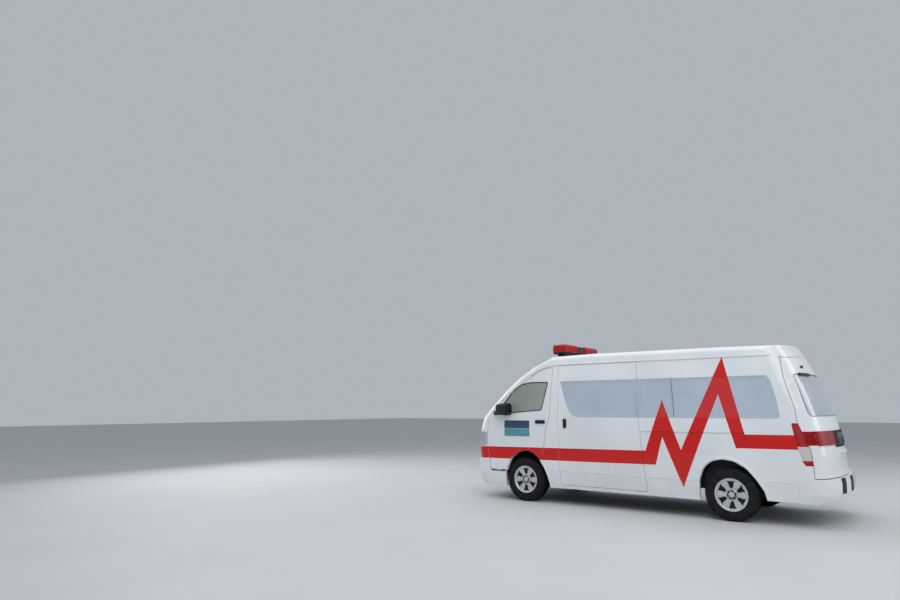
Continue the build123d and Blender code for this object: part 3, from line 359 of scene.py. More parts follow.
finish = {
    "side": makePaint("sidePaint", True, True),
    "plain": makePaint("plainPaint", False, False),
    "front": makePaint("frontPaint", True, False),
    "rubber": makeRubber("tyreRubber"),
    "seal": makeRubber("sealRubber", (0.006, 0.006, 0.007), 0.7),
    "black": makePlastic("blackPlastic", (0.010, 0.010, 0.011), 0.48, specular=0.25),
    "grey": makePlastic("greyPlastic", (0.16, 0.16, 0.165), 0.5),
    "trim": makePlastic("dashPlastic", (0.20, 0.20, 0.21), 0.62),
    "darkStrip": makePlastic("darkBumperStrip", (0.014, 0.014, 0.015), 0.7, 220.0, specular=0.2),
    "garnish": makePlastic("redGarnish", (0.24, 0.001, 0.003), 0.30, 40.0, specular=0.15),
    "silver": makeMetal("wheelSilver", (0.66, 0.67, 0.69), 0.28, 0.55, coat=0.5),
    "mirror": makeMetal("mirrorGlass", (0.055, 0.060, 0.066), 0.05),
    "chrome": makeMetal("brightTrim", (0.72, 0.73, 0.75), 0.14),
    "steel": makeMetal("pipeSteel", (0.30, 0.29, 0.28), 0.5),
    "cast": makeMetal("castIron", (0.10, 0.098, 0.095), 0.7, 0.6),
    "chassis": makeMetal("chassisBlack", (0.022, 0.022, 0.022), 0.6, 0.1),
    "cabGlass": makeGlass("cabGlass", (0.44, 0.50, 0.42), 0.60),
    "lampSide": makePlastic("lampSide", (0.40, 0.42, 0.44), 0.18, 60.0, 1.0),
    "lampGlass": makeGlass("lampGlass", (0.70, 0.74, 0.78), 0.30),
    "redDome": makeGlass("redDome", (0.44, 0.003, 0.004), 0.86, 0.10, 0.25),
    "filmGlass": makeFilmGlass(),
    "film": makeFilm(),
    "tailLens": makeTailLens(),
    "seat": makeFabric("seatFabric", (0.30, 0.29, 0.26), (0.42, 0.41, 0.37)),
    "navy": makePlastic("signNavy", (0.012, 0.045, 0.11), 0.35, 60.0, 0.6),
    "teal": makePlastic("signTeal", (0.06, 0.26, 0.30), 0.35, 60.0, 0.6),
    "signWhite": makePlastic("signWhite", (0.62, 0.66, 0.68), 0.35, 60.0, 0.6),
    "plate": makePlastic("plateBlack", (0.012, 0.012, 0.013), 0.4, 60.0, 0.4),
}
print("materials ready", len(finish))


def both(name):
    return f"{name}_left", f"{name}_right"


# CAD nodes: finish of each, with soft shading between faces that meet at a small angle
nodeFinish = {
    "side": (*both("body_side"), *both("front_door"), "sliding_door"),
    "front": ("front_panel", "front_bumper", "hood"),
    "plain": ("roof_panel", "tailgate", "rear_bumper"),
    "garnish": ("tailgate_garnish",),
    "cabGlass": ("windscreen", *both("front_glass")),
    "filmGlass": (*both("side_glass"), "tailgate_glass"),
    "tailLens": ("tail_lamps",),
    "lampGlass": ("headlamps",),
    "redDome": ("beacon_domes",),
    "black": ("light_bar", "steering_wheel", "side_door_handle", *both("front_trim"), "tailgate_trim"),
    "chrome": ("grille",),
    "trim": ("dashboard",),
    "seat": ("front_seats",),
    "chassis": ("floor_pan", "fuel_tank", "tow_eyes"),
    "cast": ("engine", "drivetrain", "rear_axle", "front_suspension", *both("knuckle")),
    "steel": ("exhaust",),
    "rubber": (*both("tyre_front"), *both("tyre_rear"), "spare_wheel"),
    "silver": (*both("wheel_front"), *both("wheel_rear")),
}
softShading = {"mergeWithin": 0.00002, "sharpFrom": 32.0, "normalWeight": 50}


def buildTree(name, inputs, nodes, settings, links):
    tree = bpy.data.node_groups.new(name, "GeometryNodeTree")
    keys = {}
    for label, kind in (("Geometry", "Geometry"), *inputs):
        socket = tree.interface.new_socket(label, in_out="INPUT", socket_type=f"NodeSocket{kind}")
        keys[label] = socket.identifier
    tree.interface.new_socket("Geometry", in_out="OUTPUT", socket_type="NodeSocketGeometry")
    made = {label: tree.nodes.new(kind) for label, kind in nodes.items()}
    made["given"], made["result"] = tree.nodes.new("NodeGroupInput"), tree.nodes.new("NodeGroupOutput")
    for label, key, value in settings:
        setattr(made[label], key, value)
    for start, output, end, entry in links:
        tree.links.new(made[start].outputs[output], made[end].inputs[entry])
    return tree, keys, made


softTree, softKeys, softNodes = buildTree(
    "softShading",
    (("Merge within", "Float"), ("Sharp from", "Float")),
    {
        "merge": "GeometryNodeMergeByDistance",
        "smooth": "GeometryNodeSetShadeSmooth",
        "sharp": "GeometryNodeSetShadeSmooth",
        "edge": "GeometryNodeInputMeshEdgeAngle",
        "compare": "FunctionNodeCompare",
    },
    (("sharp", "domain", "EDGE"), ("compare", "data_type", "FLOAT"), ("compare", "operation", "GREATER_THAN")),
    (
        ("given", "Geometry", "merge", "Geometry"), ("given", "Merge within", "merge", "Distance"),
        ("merge", 0, "smooth", "Geometry"), ("smooth", 0, "sharp", "Geometry"),
        ("edge", 0, "compare", 0), ("given", "Sharp from", "compare", 1),
        ("compare", 0, "sharp", "Selection"), ("sharp", 0, "result", 0),
    ),
)
softNodes["sharp"].inputs["Shade Smooth"].default_value = False


def softenShading(piece):
    soften = piece.modifiers.new("softShading", "NODES")
    soften.node_group = softTree
    soften[softKeys["Merge within"]] = softShading["mergeWithin"]
    soften[softKeys["Sharp from"]] = math.radians(softShading["sharpFrom"])
    weigh = piece.modifiers.new("weighNormals", "WEIGHTED_NORMAL")
    weigh.weight = softShading["normalWeight"]
    weigh.keep_sharp = True


for finishName, nodes in nodeFinish.items():
    for node in nodes:
        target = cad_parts[node]
        if not target.material_slots:
            target.data.materials.append(finish[finishName])
        for place in target.material_slots:
            place.material = finish[finishName]
        softenShading(target)
print("CAD nodes finished", len(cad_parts))


# Distances for merging and dissolving mesh points, and the share of a side that a rounded corner may reach
mergeWithin = 0.000005
dissolveWithin = 0.000002
cornerReach = 0.45


# Mesh helpers: a part is a list of vertices and a list of faces, a route is pairs of point and normal
def joinParts(parts):
    vertices, faces = [], []
    for partVertices, partFaces in parts:
        base = len(vertices)
        vertices += partVertices
        faces += [[base + index for index in face] for face in partFaces]
    return vertices, faces


def addPiece(name, parts, colour, body, smooth=True):
    vertices, faces = joinParts(parts)
    work = bmesh.new()
    points = [work.verts.new(point) for point in vertices]
    for face in faces:
        work.faces.new([points[index] for index in face])
    bmesh.ops.remove_doubles(work, verts=work.verts, dist=mergeWithin)
    bmesh.ops.dissolve_degenerate(work, edges=work.edges, dist=dissolveWithin)
    bmesh.ops.recalc_face_normals(work, faces=work.faces)
    for face in work.faces:
        face.smooth = smooth
    mesh = bpy.data.meshes.new(name)
    work.to_mesh(mesh)
    work.free()
    piece = addObject(name, mesh)
    mesh.materials.append(finish[colour])
    if smooth:
        softenShading(piece)
    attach(piece, body)
    return piece


def partOf(mesh):
    return [vertex.co.copy() for vertex in mesh.vertices], [list(face.vertices) for face in mesh.polygons]


def mirrorPart(part):
    vertices, faces = part
    return [Vector((p[0], -p[1], p[2])) for p in vertices], [list(reversed(face)) for face in faces]


def ringFaces(rows, count, closedRows=False, closedRound=True):
    faces = []
    for row in range(rows if closedRows else rows - 1):
        here, there = row * count, (row + 1) % rows * count
        for step in range(count if closedRound else count - 1):
            after = (step + 1) % count
            faces.append([here + step, here + after, there + after, there + step])
    return faces


def sweep(route, section, closed=False):
    points = [point for point, normal in route]
    count, size = len(route), len(section)
    vertices = []
    for index, (point, normal) in enumerate(route):
        before = points[index - 1] if closed or index else points[0]
        after = points[(index + 1) % count] if closed or index < count - 1 else points[-1]
        along = (after - before).normalized()
        across = along.cross(normal).normalized()
        outward = across.cross(along).normalized()
        vertices += [point + across * a + outward * b for a, b in section]
    faces = ringFaces(count, size, closedRows=closed)
    if not closed:
        faces += [list(range(size)), [len(vertices) - 1 - index for index in range(size)]]
    return vertices, faces


def revolve(profile, centre, sides, axis="Y", looped=False):
    vertices = []
    for along, radius in profile:
        for step in range(sides):
            angle = 2 * math.pi * step / sides
            a, b = radius * math.cos(angle), radius * math.sin(angle)
            vertices.append(Vector(centre) + Vector((a, along, b) if axis == "Y" else (a, b, along)))
    faces = ringFaces(len(profile), sides, closedRows=looped)
    if not looped:
        faces += [list(range(sides)), list(range(len(vertices) - sides, len(vertices)))]
    return vertices, faces


def standOn(spot, profile, sides, looped=False, stretch=(1, 1)):
    hit, normal = spot
    turn = zAxis.rotation_difference(normal)
    vertices, faces = revolve(profile, (0, 0, 0), sides, "Z", looped)
    return [hit + turn @ Vector((v.x * stretch[0], v.y * stretch[1], v.z)) for v in vertices], faces


def thicken(outer, faces, rim, inward):
    size = len(outer)
    faces += [[size + index for index in reversed(face)] for face in faces]
    faces += [[a, b, size + b, size + a] for a, b in zip(rim, rim[1:] + rim[:1])]
    return outer + [point + inward for point in outer], faces


def sheetFrom(rows, inward):
    outer = [point for row in rows for point in row]
    size, count = len(outer), len(rows[0])
    rim = list(range(count)) + list(range(2 * count - 1, size, count))
    rim += [size - 1 - k for k in range(1, count)] + [row * count for row in range(len(rows) - 2, 0, -1)]
    return thicken(outer, ringFaces(len(rows), count, closedRound=False), rim, inward)


def roundedBlock(low, high, radius, steps=3):
    low, high = Vector(low), Vector(high)
    work = bmesh.new()
    bmesh.ops.create_cube(work, size=1.0)
    for vertex in work.verts:
        vertex.co = Vector([low[i] + (vertex.co[i] + 0.5) * (high[i] - low[i]) for i in range(3)])
    bmesh.ops.bevel(
        work, geom=list(work.edges), offset=radius, segments=steps, profile=0.5,
        affect="EDGES", clamp_overlap=True,
    )
    work.verts.ensure_lookup_table()
    part = [vertex.co.copy() for vertex in work.verts], [[v.index for v in face.verts] for face in work.faces]
    work.free()
    return part


def rectangle(low, high):
    return [low, (high[0], low[1]), high, (low[0], high[1])]


def middleOf(low, high):
    return Vector([(a + b) / 2 for a, b in zip(low, high)])


def roundCorners(outline, radius, steps=5):
    smooth = []
    count = len(outline)
    for index in range(count):
        before, corner, after = (Vector(outline[(index + k) % count]) for k in (-1, 0, 1))
        reach = min(radius, (before - corner).length * cornerReach, (after - corner).length * cornerReach)
        start = corner + (before - corner).normalized() * reach
        end = corner + (after - corner).normalized() * reach
        for step in range(steps + 1):
            t = step / steps
            smooth.append((1 - t) ** 2 * start + 2 * t * (1 - t) * corner + t * t * end)
    return smooth


def evenly(outline, spacing, closed=True):
    spaced = []
    pairs = zip(outline, outline[1:] + outline[:1]) if closed else zip(outline, outline[1:])
    for start, end in pairs:
        pieces = max(1, round((end - start).length / spacing))
        spaced += [start.lerp(end, step / pieces) for step in range(pieces)]
    return spaced if closed else spaced + [outline[-1]]


def spotsBetween(place, start, end, steps):
    spots = []
    for step in range(steps + 1):
        spots.append(place(*(a + (b - a) * step / steps for a, b in zip(start, end))))
    return spots


def surfaceOf(*nodes):
    return BVHTree.FromPolygons(*joinParts([partOf(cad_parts[node].data) for node in nodes]))


sideNodes = (
    *both("body_side"), *both("front_door"), "sliding_door", *both("side_glass"), *both("front_glass"),
    "roof_panel",
    "front_panel", "front_bumper", "rear_bumper", "tailgate", "tailgate_glass", "tailgate_garnish",
    "windscreen", "hood", "headlamps", "tail_lamps",
)
skin = surfaceOf(*sideNodes)
rayStart = 3.2
rayStep = 0.004


def onSurface(origin, direction):
    origin, direction = Vector(origin), Vector(direction)
    sideways = Vector((direction.y, direction.z, direction.x))
    upward = direction.cross(sideways)
    found = None
    for share in (0, 1, -1):  # a joint between two panels is stepped over
        shift = (sideways + upward) * share * rayStep
        hit, normal, index, distance = skin.ray_cast(origin + shift, direction)
        if hit is not None and (found is None or distance < found[2] - rayStep):
            found = (hit - shift, normal if normal.dot(direction) < 0 else -normal, distance)
    return found[0], found[1]


def onSide(x, z, side):
    return onSurface((x, side * rayStart, z), (0, -side, 0))


def onTail(y, z):
    return onSurface((-rayStart - 1, y, z), (1, 0, 0))


def onNose(y, z):
    return onSurface((rayStart + 1, y, z), (-1, 0, 0))


doorSides = ((1, "door_left", "Left"), (-1, "door_right", "Right"))

# Film over the side windows, with the stripe that runs on over it
filmSheet = {
    "lift": 0.0012,
    "thickness": 0.0006,
    "seam": (-0.246, -0.234),
    "rows": 15,
    "step": 0.05,
    "divider": ((-0.7555, 1.316), (-0.7255, 1.858)),
    "dividerSection": ((-0.003, 0.0), (0.003, 0.0), (0.002, 0.0016), (-0.002, 0.0016)),
}


def valueAt(points, place):
    for (startAt, startValue), (endAt, endValue) in zip(points, points[1:]):
        if place <= endAt:
            share = (place - startAt) / (endAt - startAt)
            return startValue + share * (endValue - startValue)
    return points[-1][1]


def filmLine(side, start, end, steps):
    flat = Vector((0, side, 0))
    spots = spotsBetween(lambda x, z: onSide(x, z, side), start, end, steps)
    return [(hit + flat * filmSheet["lift"], flat) for hit, normal in spots]


def filmPart(side, frontOf, rearOf):
    low, high = sidePaint["filmHeights"]
    columns = max(2, round((frontOf(low) - rearOf(low)) / filmSheet["step"]))
    rows = []
    for row in range(filmSheet["rows"] + 1):
        z = low + (high - low) * row / filmSheet["rows"]
        rows.append([point for point, flat in filmLine(side, (rearOf(z), z), (frontOf(z), z), columns)])
    return sheetFrom(rows, Vector((0, -side * filmSheet["thickness"], 0)))


def makeFilmSheets():
    frontOf = lambda z: valueAt(sidePaint["filmFront"], z)
    rearOf = lambda z: valueAt(sidePaint["filmRear"], z)
    seamRear, seamFront = filmSheet["seam"]
    parts = [
        filmPart(1, frontOf, lambda z: seamFront),
        filmPart(1, lambda z: seamRear, rearOf),
        filmPart(-1, frontOf, rearOf),
    ]
    addPiece("windowFilm", parts, "film", "shell")
    lines = [sweep(filmLine(side, *filmSheet["divider"], 8), filmSheet["dividerSection"]) for side in (1, -1)]
    addPiece("windowDividers", lines, "seal", "shell")


makeFilmSheets()
print("film ready")


# Rubber seals round the glass that is not filmed, and round the rear window
seals = {
    "section": ((-0.006, -0.001), (0.006, -0.001), (0.005, 0.0035), (-0.005, 0.0035)),
    "corner": 0.03,
    "spacing": 0.06,
    "doorWindow": (
        (1.244, 1.856), (1.355, 1.418), (1.918, 1.374), (2.222, 1.352),
        (2.050, 1.548), (1.880, 1.738), (1.740, 1.832), (1.560, 1.858),
    ),
    "windscreen": ((0.789, 1.342), (-0.789, 1.342), (-0.697, 2.090), (0.697, 2.090)),
    "windscreenCorner": 0.07,
    "rearWindow": ((0.836, 1.340), (-0.836, 1.340), (-0.770, 1.878), (0.770, 1.878)),
    "rearCorner": 0.09,
}


def addSeal(name, outline, corner, place, colour, body):
    loop = evenly(roundCorners(outline, corner), seals["spacing"])
    part = sweep([place(*point) for point in loop], seals["section"], closed=True)
    addPiece(name, [part], colour, body)


def makeSeals():
    for side, body, label in doorSides:
        place = lambda x, z: onSide(x, z, side)
        addSeal(f"doorWindowSeal{label}", seals["doorWindow"], seals["corner"], place, "seal", body)
    addSeal("windscreenSeal", seals["windscreen"], seals["windscreenCorner"], onNose, "seal", "shell")
    addSeal("rearWindowSeal", seals["rearWindow"], seals["rearCorner"], onTail, "grey", "tailgate")


makeSeals()
print("seals ready")

# Ridges pressed in the sides, flares round the wheel openings and gutters on the roof edge
ridges = {
    "section": ((-0.010, -0.001), (-0.004, 0.0035), (0.004, 0.0035), (0.010, -0.001)),
    "runs": (
        ((1.195, 0.505), (1.075, 0.505)), ((-0.330, 0.492), (-0.985, 0.492)),
        ((-1.905, 0.540), (-2.225, 0.540)), ((1.040, 0.505), (-0.300, 0.492)),
    ),
    "flareSection": ((-0.024, -0.002), (-0.020, 0.007), (0.004, 0.012), (0.016, 0.007), (0.020, -0.002)),
    "flareGrow": 0.018,
    "flareSteps": 40,
    "flareSpacing": 0.04,
    "archCentre": 0.42,
    "gutterSection": ((-0.011, -0.002), (-0.011, 0.010), (0.004, 0.013), (0.011, 0.004), (0.011, -0.002)),
    "gutter": ((-2.022, 2.128), (1.082, 2.128), (1.190, 2.126), (1.290, 2.108), (1.412, 2.066), (1.578, 1.969)),
    "gutterSpacing": 0.08,
    "doorSeam": (1.350, 0.456),
    "seamGap": 0.008,
}
wheelOpenings = {
    "front": (
        (2.032, 0.320), (2.010, 0.480), (1.930, 0.650), (1.810, 0.748), (1.675, 0.782),
        (1.540, 0.768), (1.420, 0.680), (1.310, 0.504), (1.250, 0.330),
    ),
    "rear": (
        (-1.034, 0.320), (-1.046, 0.500), (-1.108, 0.662), (-1.215, 0.752), (-1.357, 0.782),
        (-1.498, 0.762), (-1.640, 0.682), (-1.756, 0.544), (-1.840, 0.403), (-1.862, 0.310),
    ),
}


def sideStrip(route, side, section, spacing=0.05):
    points = evenly([Vector(point) for point in route], spacing, closed=False)
    return sweep([onSide(*point, side) for point in points], section)


def grownArch(outline):
    smooth = []
    centre = Vector((sum(p[0] for p in outline) / len(outline), ridges["archCentre"]))
    for step in range(ridges["flareSteps"] + 1):
        share = step / ridges["flareSteps"] * (len(outline) - 1)
        index = min(int(share), len(outline) - 2)
        around = [Vector(outline[max(0, min(len(outline) - 1, index + k))]) for k in (-1, 0, 1, 2)]
        t = share - index
        point = 0.5 * (
            2 * around[1] + (around[2] - around[0]) * t
            + (2 * around[0] - 5 * around[1] + 4 * around[2] - around[3]) * t ** 2
            + (3 * around[1] - around[0] - 3 * around[2] + around[3]) * t ** 3
        )
        smooth.append(point + (point - centre).normalized() * ridges["flareGrow"])
    return smooth


def makeRidges():
    flare = lambda route: sideStrip(route, side, ridges["flareSection"], ridges["flareSpacing"])
    (seamX, seamZ), gap = ridges["doorSeam"], ridges["seamGap"]
    front = grownArch(wheelOpenings["front"])
    strips = []
    for side, body, label in doorSides:
        strips += [sideStrip(run, side, ridges["section"]) for run in ridges["runs"]]
        strips.append(flare(grownArch(wheelOpenings["rear"])))
        onDoor = [p for p in front if p[0] > seamX + gap and p[1] > seamZ + gap]
        addPiece(f"doorFlare{label}", [flare(onDoor)], "side", body)
        strips.append(flare([p for p in front if p[0] < seamX - gap]))
        strips.append(sideStrip(ridges["gutter"], side, ridges["gutterSection"], ridges["gutterSpacing"]))
    addPiece("sidePressings", strips, "side", "shell")


makeRidges()
print("pressings ready")

# Blank signs on the front doors: a navy field over a teal one
doorSign = {
    "low": (1.567, 1.000),
    "high": (2.055, 1.257),
    "corner": 0.022,
    "lift": 0.0008,
    "thick": 0.0012,
    "margin": 0.006,
    "fieldThick": 0.0006,
    "fieldCorner": 0.8,
    "fields": (("navy", 0.50, 0.985), ("teal", 0.015, 0.485)),
}
patchRings = (1.0, 0.66, 0.33)


def sidePatch(low, high, lift, thick, side, corner, steps=12):
    loop = evenly(roundCorners(rectangle(low, high), corner), (high[0] - low[0]) / steps)
    centre = middleOf(low, high)
    outer = []
    for x, z in [centre + (point - centre) * share for share in patchRings for point in loop] + [centre]:
        hit, normal = onSide(x, z, side)
        outer.append(hit + normal * (lift + thick))
    count, middle = len(loop), len(outer) - 1
    faces = ringFaces(len(patchRings), count)
    last = middle - count
    faces += [[last + step, last + (step + 1) % count, middle] for step in range(count)]
    return thicken(outer, faces, list(range(count)), Vector((0, -side * thick, 0)))


def makeDoorSigns():
    (x0, z0), (x1, z1) = doorSign["low"], doorSign["high"]
    lift, thick, corner, margin = (doorSign[key] for key in ("lift", "thick", "corner", "margin"))
    fieldEdge = (doorSign["fieldThick"], doorSign["fieldCorner"] * corner)
    for side, body, label in doorSides:
        base = sidePatch((x0, z0), (x1, z1), lift, thick, side, corner)
        addPiece(f"doorSign{label}", [base], "signWhite", body)
        for colour, bottom, top in doorSign["fields"]:
            low = (x0 + margin, z0 + (z1 - z0) * bottom)
            high = (x1 - margin, z0 + (z1 - z0) * top)
            field = sidePatch(low, high, lift + thick, fieldEdge[0], side, fieldEdge[1])
            addPiece(f"{colour}Field{label}", [field], colour, body)


makeDoorSigns()

# Wipers at rest on the windscreen
wipers = {
    "front": (
        {"pivot": (0.62, 1.322), "elbow": (0.34, 1.395), "blade": ((0.60, 1.378), (-0.02, 1.412))},
        {"pivot": (-0.04, 1.322), "elbow": (-0.36, 1.395), "blade": ((-0.06, 1.378), (-0.70, 1.412))},
    ),
    "armLift": 0.020,
    "armArc": (0.15, 0.6),
    "bladeLift": 0.006,
    "armSection": ((-0.009, 0.0), (-0.006, 0.009), (0.006, 0.009), (0.009, 0.0)),
    "bladeSection": (
        (-0.005, -0.004), (-0.008, 0.004), (-0.003, 0.013), (0.003, 0.013), (0.008, 0.004), (0.005, -0.004),
    ),
    "cap": ((-0.004, 0.017), (0.012, 0.017), (0.020, 0.011), (0.021, 0.002)),
}


def makeWiper(data):
    start, run = wipers["armArc"]
    arm = []
    for step, (hit, up) in enumerate(spotsBetween(onNose, data["pivot"], data["elbow"], 8)):
        arm.append((hit + up * (wipers["armLift"] * math.sin(math.pi * (start + run * step / 8))), up))
    blade = [(hit + up * wipers["bladeLift"], up) for hit, up in spotsBetween(onNose, *data["blade"], 14)]
    cap = standOn(onNose(*data["pivot"]), wipers["cap"], 20)
    return [sweep(arm, wipers["armSection"]), sweep(blade, wipers["bladeSection"]), cap]


addPiece("windscreenWipers", [part for data in wipers["front"] for part in makeWiper(data)], "black", "shell")
print("signs and wipers ready")

# Door mirrors: rounded head over a foot on the door, glass with its rim, and the pull handle
doorMirror = {
    "head": ((1.8665, 0.970, 1.334), (2.126, 1.1495, 1.532)),
    "round": 0.038,
    "taperFrom": 1.990,
    "taper": (0.42, 0.16),
    "taperOver": 0.1,
    "foot": ((2.085, 1.010, 1.376), (2.150, 0.975, 1.372), (2.216, 0.936, 1.370)),
    "footSection": (
        (-0.020, -0.014), (-0.026, 0.0), (-0.020, 0.014), (0.020, 0.014), (0.026, 0.0), (0.020, -0.014),
    ),
    "base": ((2.160, 1.336), (2.262, 1.404)),
    "x": 1.8675,
    "low": (0.994, 1.356),
    "high": (1.128, 1.510),
    "corner": 0.030,
    "rim": 0.006,
    "rimThick": 0.004,
    "glassThick": 0.001,
    "baseCover": (0.0008, 0.008),
    "baseCorner": 0.016,
    "grip": ((1.284, 0.940, 1.214), (1.460, 0.9600, 1.250)),
    "gripCorner": 0.009,
}
# share of the outline and of the depth at each step of a plate
plateSteps = ((1.0, 0.0), (1.0, 0.6), (0.97, 1.0), (0.5, 1.0))


def facePlate(x, low, high, corner, depth, towards):
    outline = roundCorners(rectangle(low, high), corner, 6)
    count = len(outline)
    centre = middleOf(low, high)
    vertices = []
    for share, rise in plateSteps:
        for point in outline:
            flat = centre + (point - centre) * share
            vertices.append(Vector((x + towards * rise * depth, flat[0], flat[1])))
    total = len(vertices)
    return vertices, ringFaces(len(plateSteps), count) + [list(range(count)), list(range(total - count, total))]


def mirrorHead():
    shape = doorMirror
    low, high = shape["head"]
    vertices, faces = roundedBlock(low, high, shape["round"], 5)
    middle = (low[2] + high[2]) / 2
    tapered = []
    for vertex in vertices:
        forward = max(0.0, vertex.x - shape["taperFrom"])
        inward = forward * shape["taper"][0] * (vertex.y - low[1]) / (high[1] - low[1])
        flatter = (vertex.z - middle) * forward * shape["taper"][1] / shape["taperOver"]
        tapered.append(vertex - Vector((0, inward, flatter)))
    return tapered, faces


def makeMirrors():
    shape = doorMirror
    x, corner, rim, thick = (shape[key] for key in ("x", "corner", "rim", "rimThick"))
    (y0, z0), (y1, z1) = shape["low"], shape["high"]
    leftParts = [
        mirrorHead(),
        sweep([(Vector(point), zAxis) for point in shape["foot"]], shape["footSection"]),
        roundedBlock(*shape["grip"], shape["gripCorner"], 4),
        facePlate(x, (y0, z0), (y1, z1), corner, thick, -1),
        facePlate(x - thick, (y0 + rim, z0 + rim), (y1 - rim, z1 - rim), corner, shape["glassThick"], -1),
    ]
    for side, body, label in doorSides:
        head, foot, grip, rimPart, glass = leftParts if side > 0 else [mirrorPart(part) for part in leftParts]
        base = sidePatch(*shape["base"], *shape["baseCover"], side, shape["baseCorner"], 8)
        whole = addPiece(f"doorMirror{label}", [head, foot, grip, base], "black", body)
        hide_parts(f"front_trim_{label.lower()}")
        addPiece(f"mirrorRim{label}", [rimPart], "black", body)
        addPiece(f"mirrorGlass{label}", [glass], "mirror", body)


makeMirrors()

# Number plates, left blank
plates = {
    # name: body, way it faces, low and high corner, depth, sunk by
    "frontPlate": ("shell", 1, (-0.215, 0.430), (0.215, 0.560), 0.005, 0.003),
    "rearPlate": ("tailgate", -1, (-0.205, 0.992), (0.205, 1.128), 0.006, 0.001),
}
plateCorner = 0.012
for name, (body, facing, low, high, depth, sunk) in plates.items():
    hit, normal = (onNose if facing > 0 else onTail)(*middleOf(low, high))
    addPiece(name, [facePlate(hit.x - facing * sunk, low, high, plateCorner, depth, facing)], "plate", body)
print("mirrors and plates ready")

# Geometry Nodes: blocks in a ring round the Y axis, for the tyre treads
ringInputs = ("Count", "Radius", "Height", "Length", "Width", "Lean", "Turn", "Finish")
ringTree, ringKeys, ringNodes = buildTree(
    "ringOfBlocks",
    [(name, {"Count": "Int", "Finish": "Material"}.get(name, "Float")) for name in ringInputs],
    {
        "circle": "GeometryNodeMeshCircle",
        "size": "ShaderNodeCombineXYZ",
        "block": "GeometryNodeMeshCube",
        "spot": "GeometryNodeInputPosition",
        "align": "FunctionNodeAlignRotationToVector",
        "lean": "ShaderNodeCombineXYZ",
        "turn": "FunctionNodeRotateRotation",
        "place": "GeometryNodeInstanceOnPoints",
        "stand": "ShaderNodeCombineXYZ",
        "upright": "GeometryNodeTransform",
        "plain": "GeometryNodeRealizeInstances",
        "colour": "GeometryNodeSetMaterial",
    },
    (("align", "axis", "X"), ("align", "pivot_axis", "Z"), ("turn", "rotation_space", "LOCAL")),
    (
        ("given", "Count", "circle", "Vertices"), ("given", "Radius", "circle", "Radius"),
        ("given", "Height", "size", 0), ("given", "Length", "size", 1), ("given", "Width", "size", 2),
        ("size", 0, "block", "Size"), ("spot", 0, "align", "Vector"), ("given", "Lean", "lean", 0),
        ("align", 0, "turn", 0), ("lean", 0, "turn", 1), ("circle", 0, "place", "Points"),
        ("block", 0, "place", "Instance"), ("turn", 0, "place", "Rotation"), ("given", "Turn", "stand", 1),
        ("place", 0, "upright", "Geometry"), ("stand", 0, "upright", "Rotation"), ("upright", 0, "plain", 0),
        ("plain", 0, "colour", "Geometry"), ("given", "Finish", "colour", "Material"),
        ("colour", 0, "result", 0),
    ),
)
ringNodes["stand"].inputs[0].default_value = math.radians(90)


def ringOfBlocks(values, centre):
    carrier = addObject("ringCarrier", bpy.data.meshes.new("ringCarrier"))
    ring = carrier.modifiers.new("ring", "NODES")
    ring.node_group = ringTree
    for name, value in zip(ringInputs, values):
        ring[ringKeys[name]] = value
    bpy.context.view_layer.update()
    made = bpy.data.meshes.new_from_object(carrier.evaluated_get(bpy.context.evaluated_depsgraph_get()))
    vertices, faces = partOf(made)
    bpy.data.objects.remove(carrier)
    bpy.data.meshes.remove(made)
    return [vertex + centre for vertex in vertices], faces


# Tyres: carcass with sidewall rings, and tread blocks in five rows
tyre = {
    "sides": 96,
    "profile": (
        (-0.083, 0.200), (-0.090, 0.204), (-0.0925, 0.214), (-0.0945, 0.224), (-0.0925, 0.227),
        (-0.0955, 0.246), (-0.0970, 0.262), (-0.0968, 0.276), (-0.0945, 0.292), (-0.0960, 0.294),
        (-0.0952, 0.300), (-0.0925, 0.302), (-0.0890, 0.315), (-0.0840, 0.3230), (-0.0780, 0.3270),
        (0.0, 0.3275),
    ),
    "rows": (
        # count, middle from the centre, width, length, lean
        (56, -0.074, 0.024, 0.029, 0.10), (62, -0.041, 0.024, 0.024, -0.32), (70, 0.0, 0.030, 0.021, 0.32),
        (62, 0.041, 0.024, 0.024, -0.32), (56, 0.074, 0.024, 0.029, 0.10),
    ),
    "blockRadius": 0.3306,
    "blockHeight": 0.0084,
    "rowTurn": 0.03,
    "bead": ((0.070, 0.197), (-0.070, 0.197)),
}
wheelPlaces = (*both("front"), *both("rear"))


def tyreParts(centre):
    half = tyre["profile"]
    profile = half + tuple((-depth, radius) for depth, radius in reversed(half[:-1])) + tyre["bead"]
    parts = [revolve(profile, centre, tyre["sides"], looped=True)]
    radius, height = tyre["blockRadius"], tyre["blockHeight"]
    for row, (count, middle, width, length, lean) in enumerate(tyre["rows"]):
        values = (count, radius, height, length, width, lean, tyre["rowTurn"] * row, finish["rubber"])
        parts.append(ringOfBlocks(values, Vector(centre) + Vector((0, middle, 0))))
    return parts


for wheel in wheelPlaces:
    low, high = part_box(f"tyre_{wheel}")
    piece = addPiece(f"tyreTread_{wheel}", tyreParts((low + high) / 2), "rubber", f"wheel_{wheel}")
    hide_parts(f"tyre_{wheel}")
print("tyres ready")
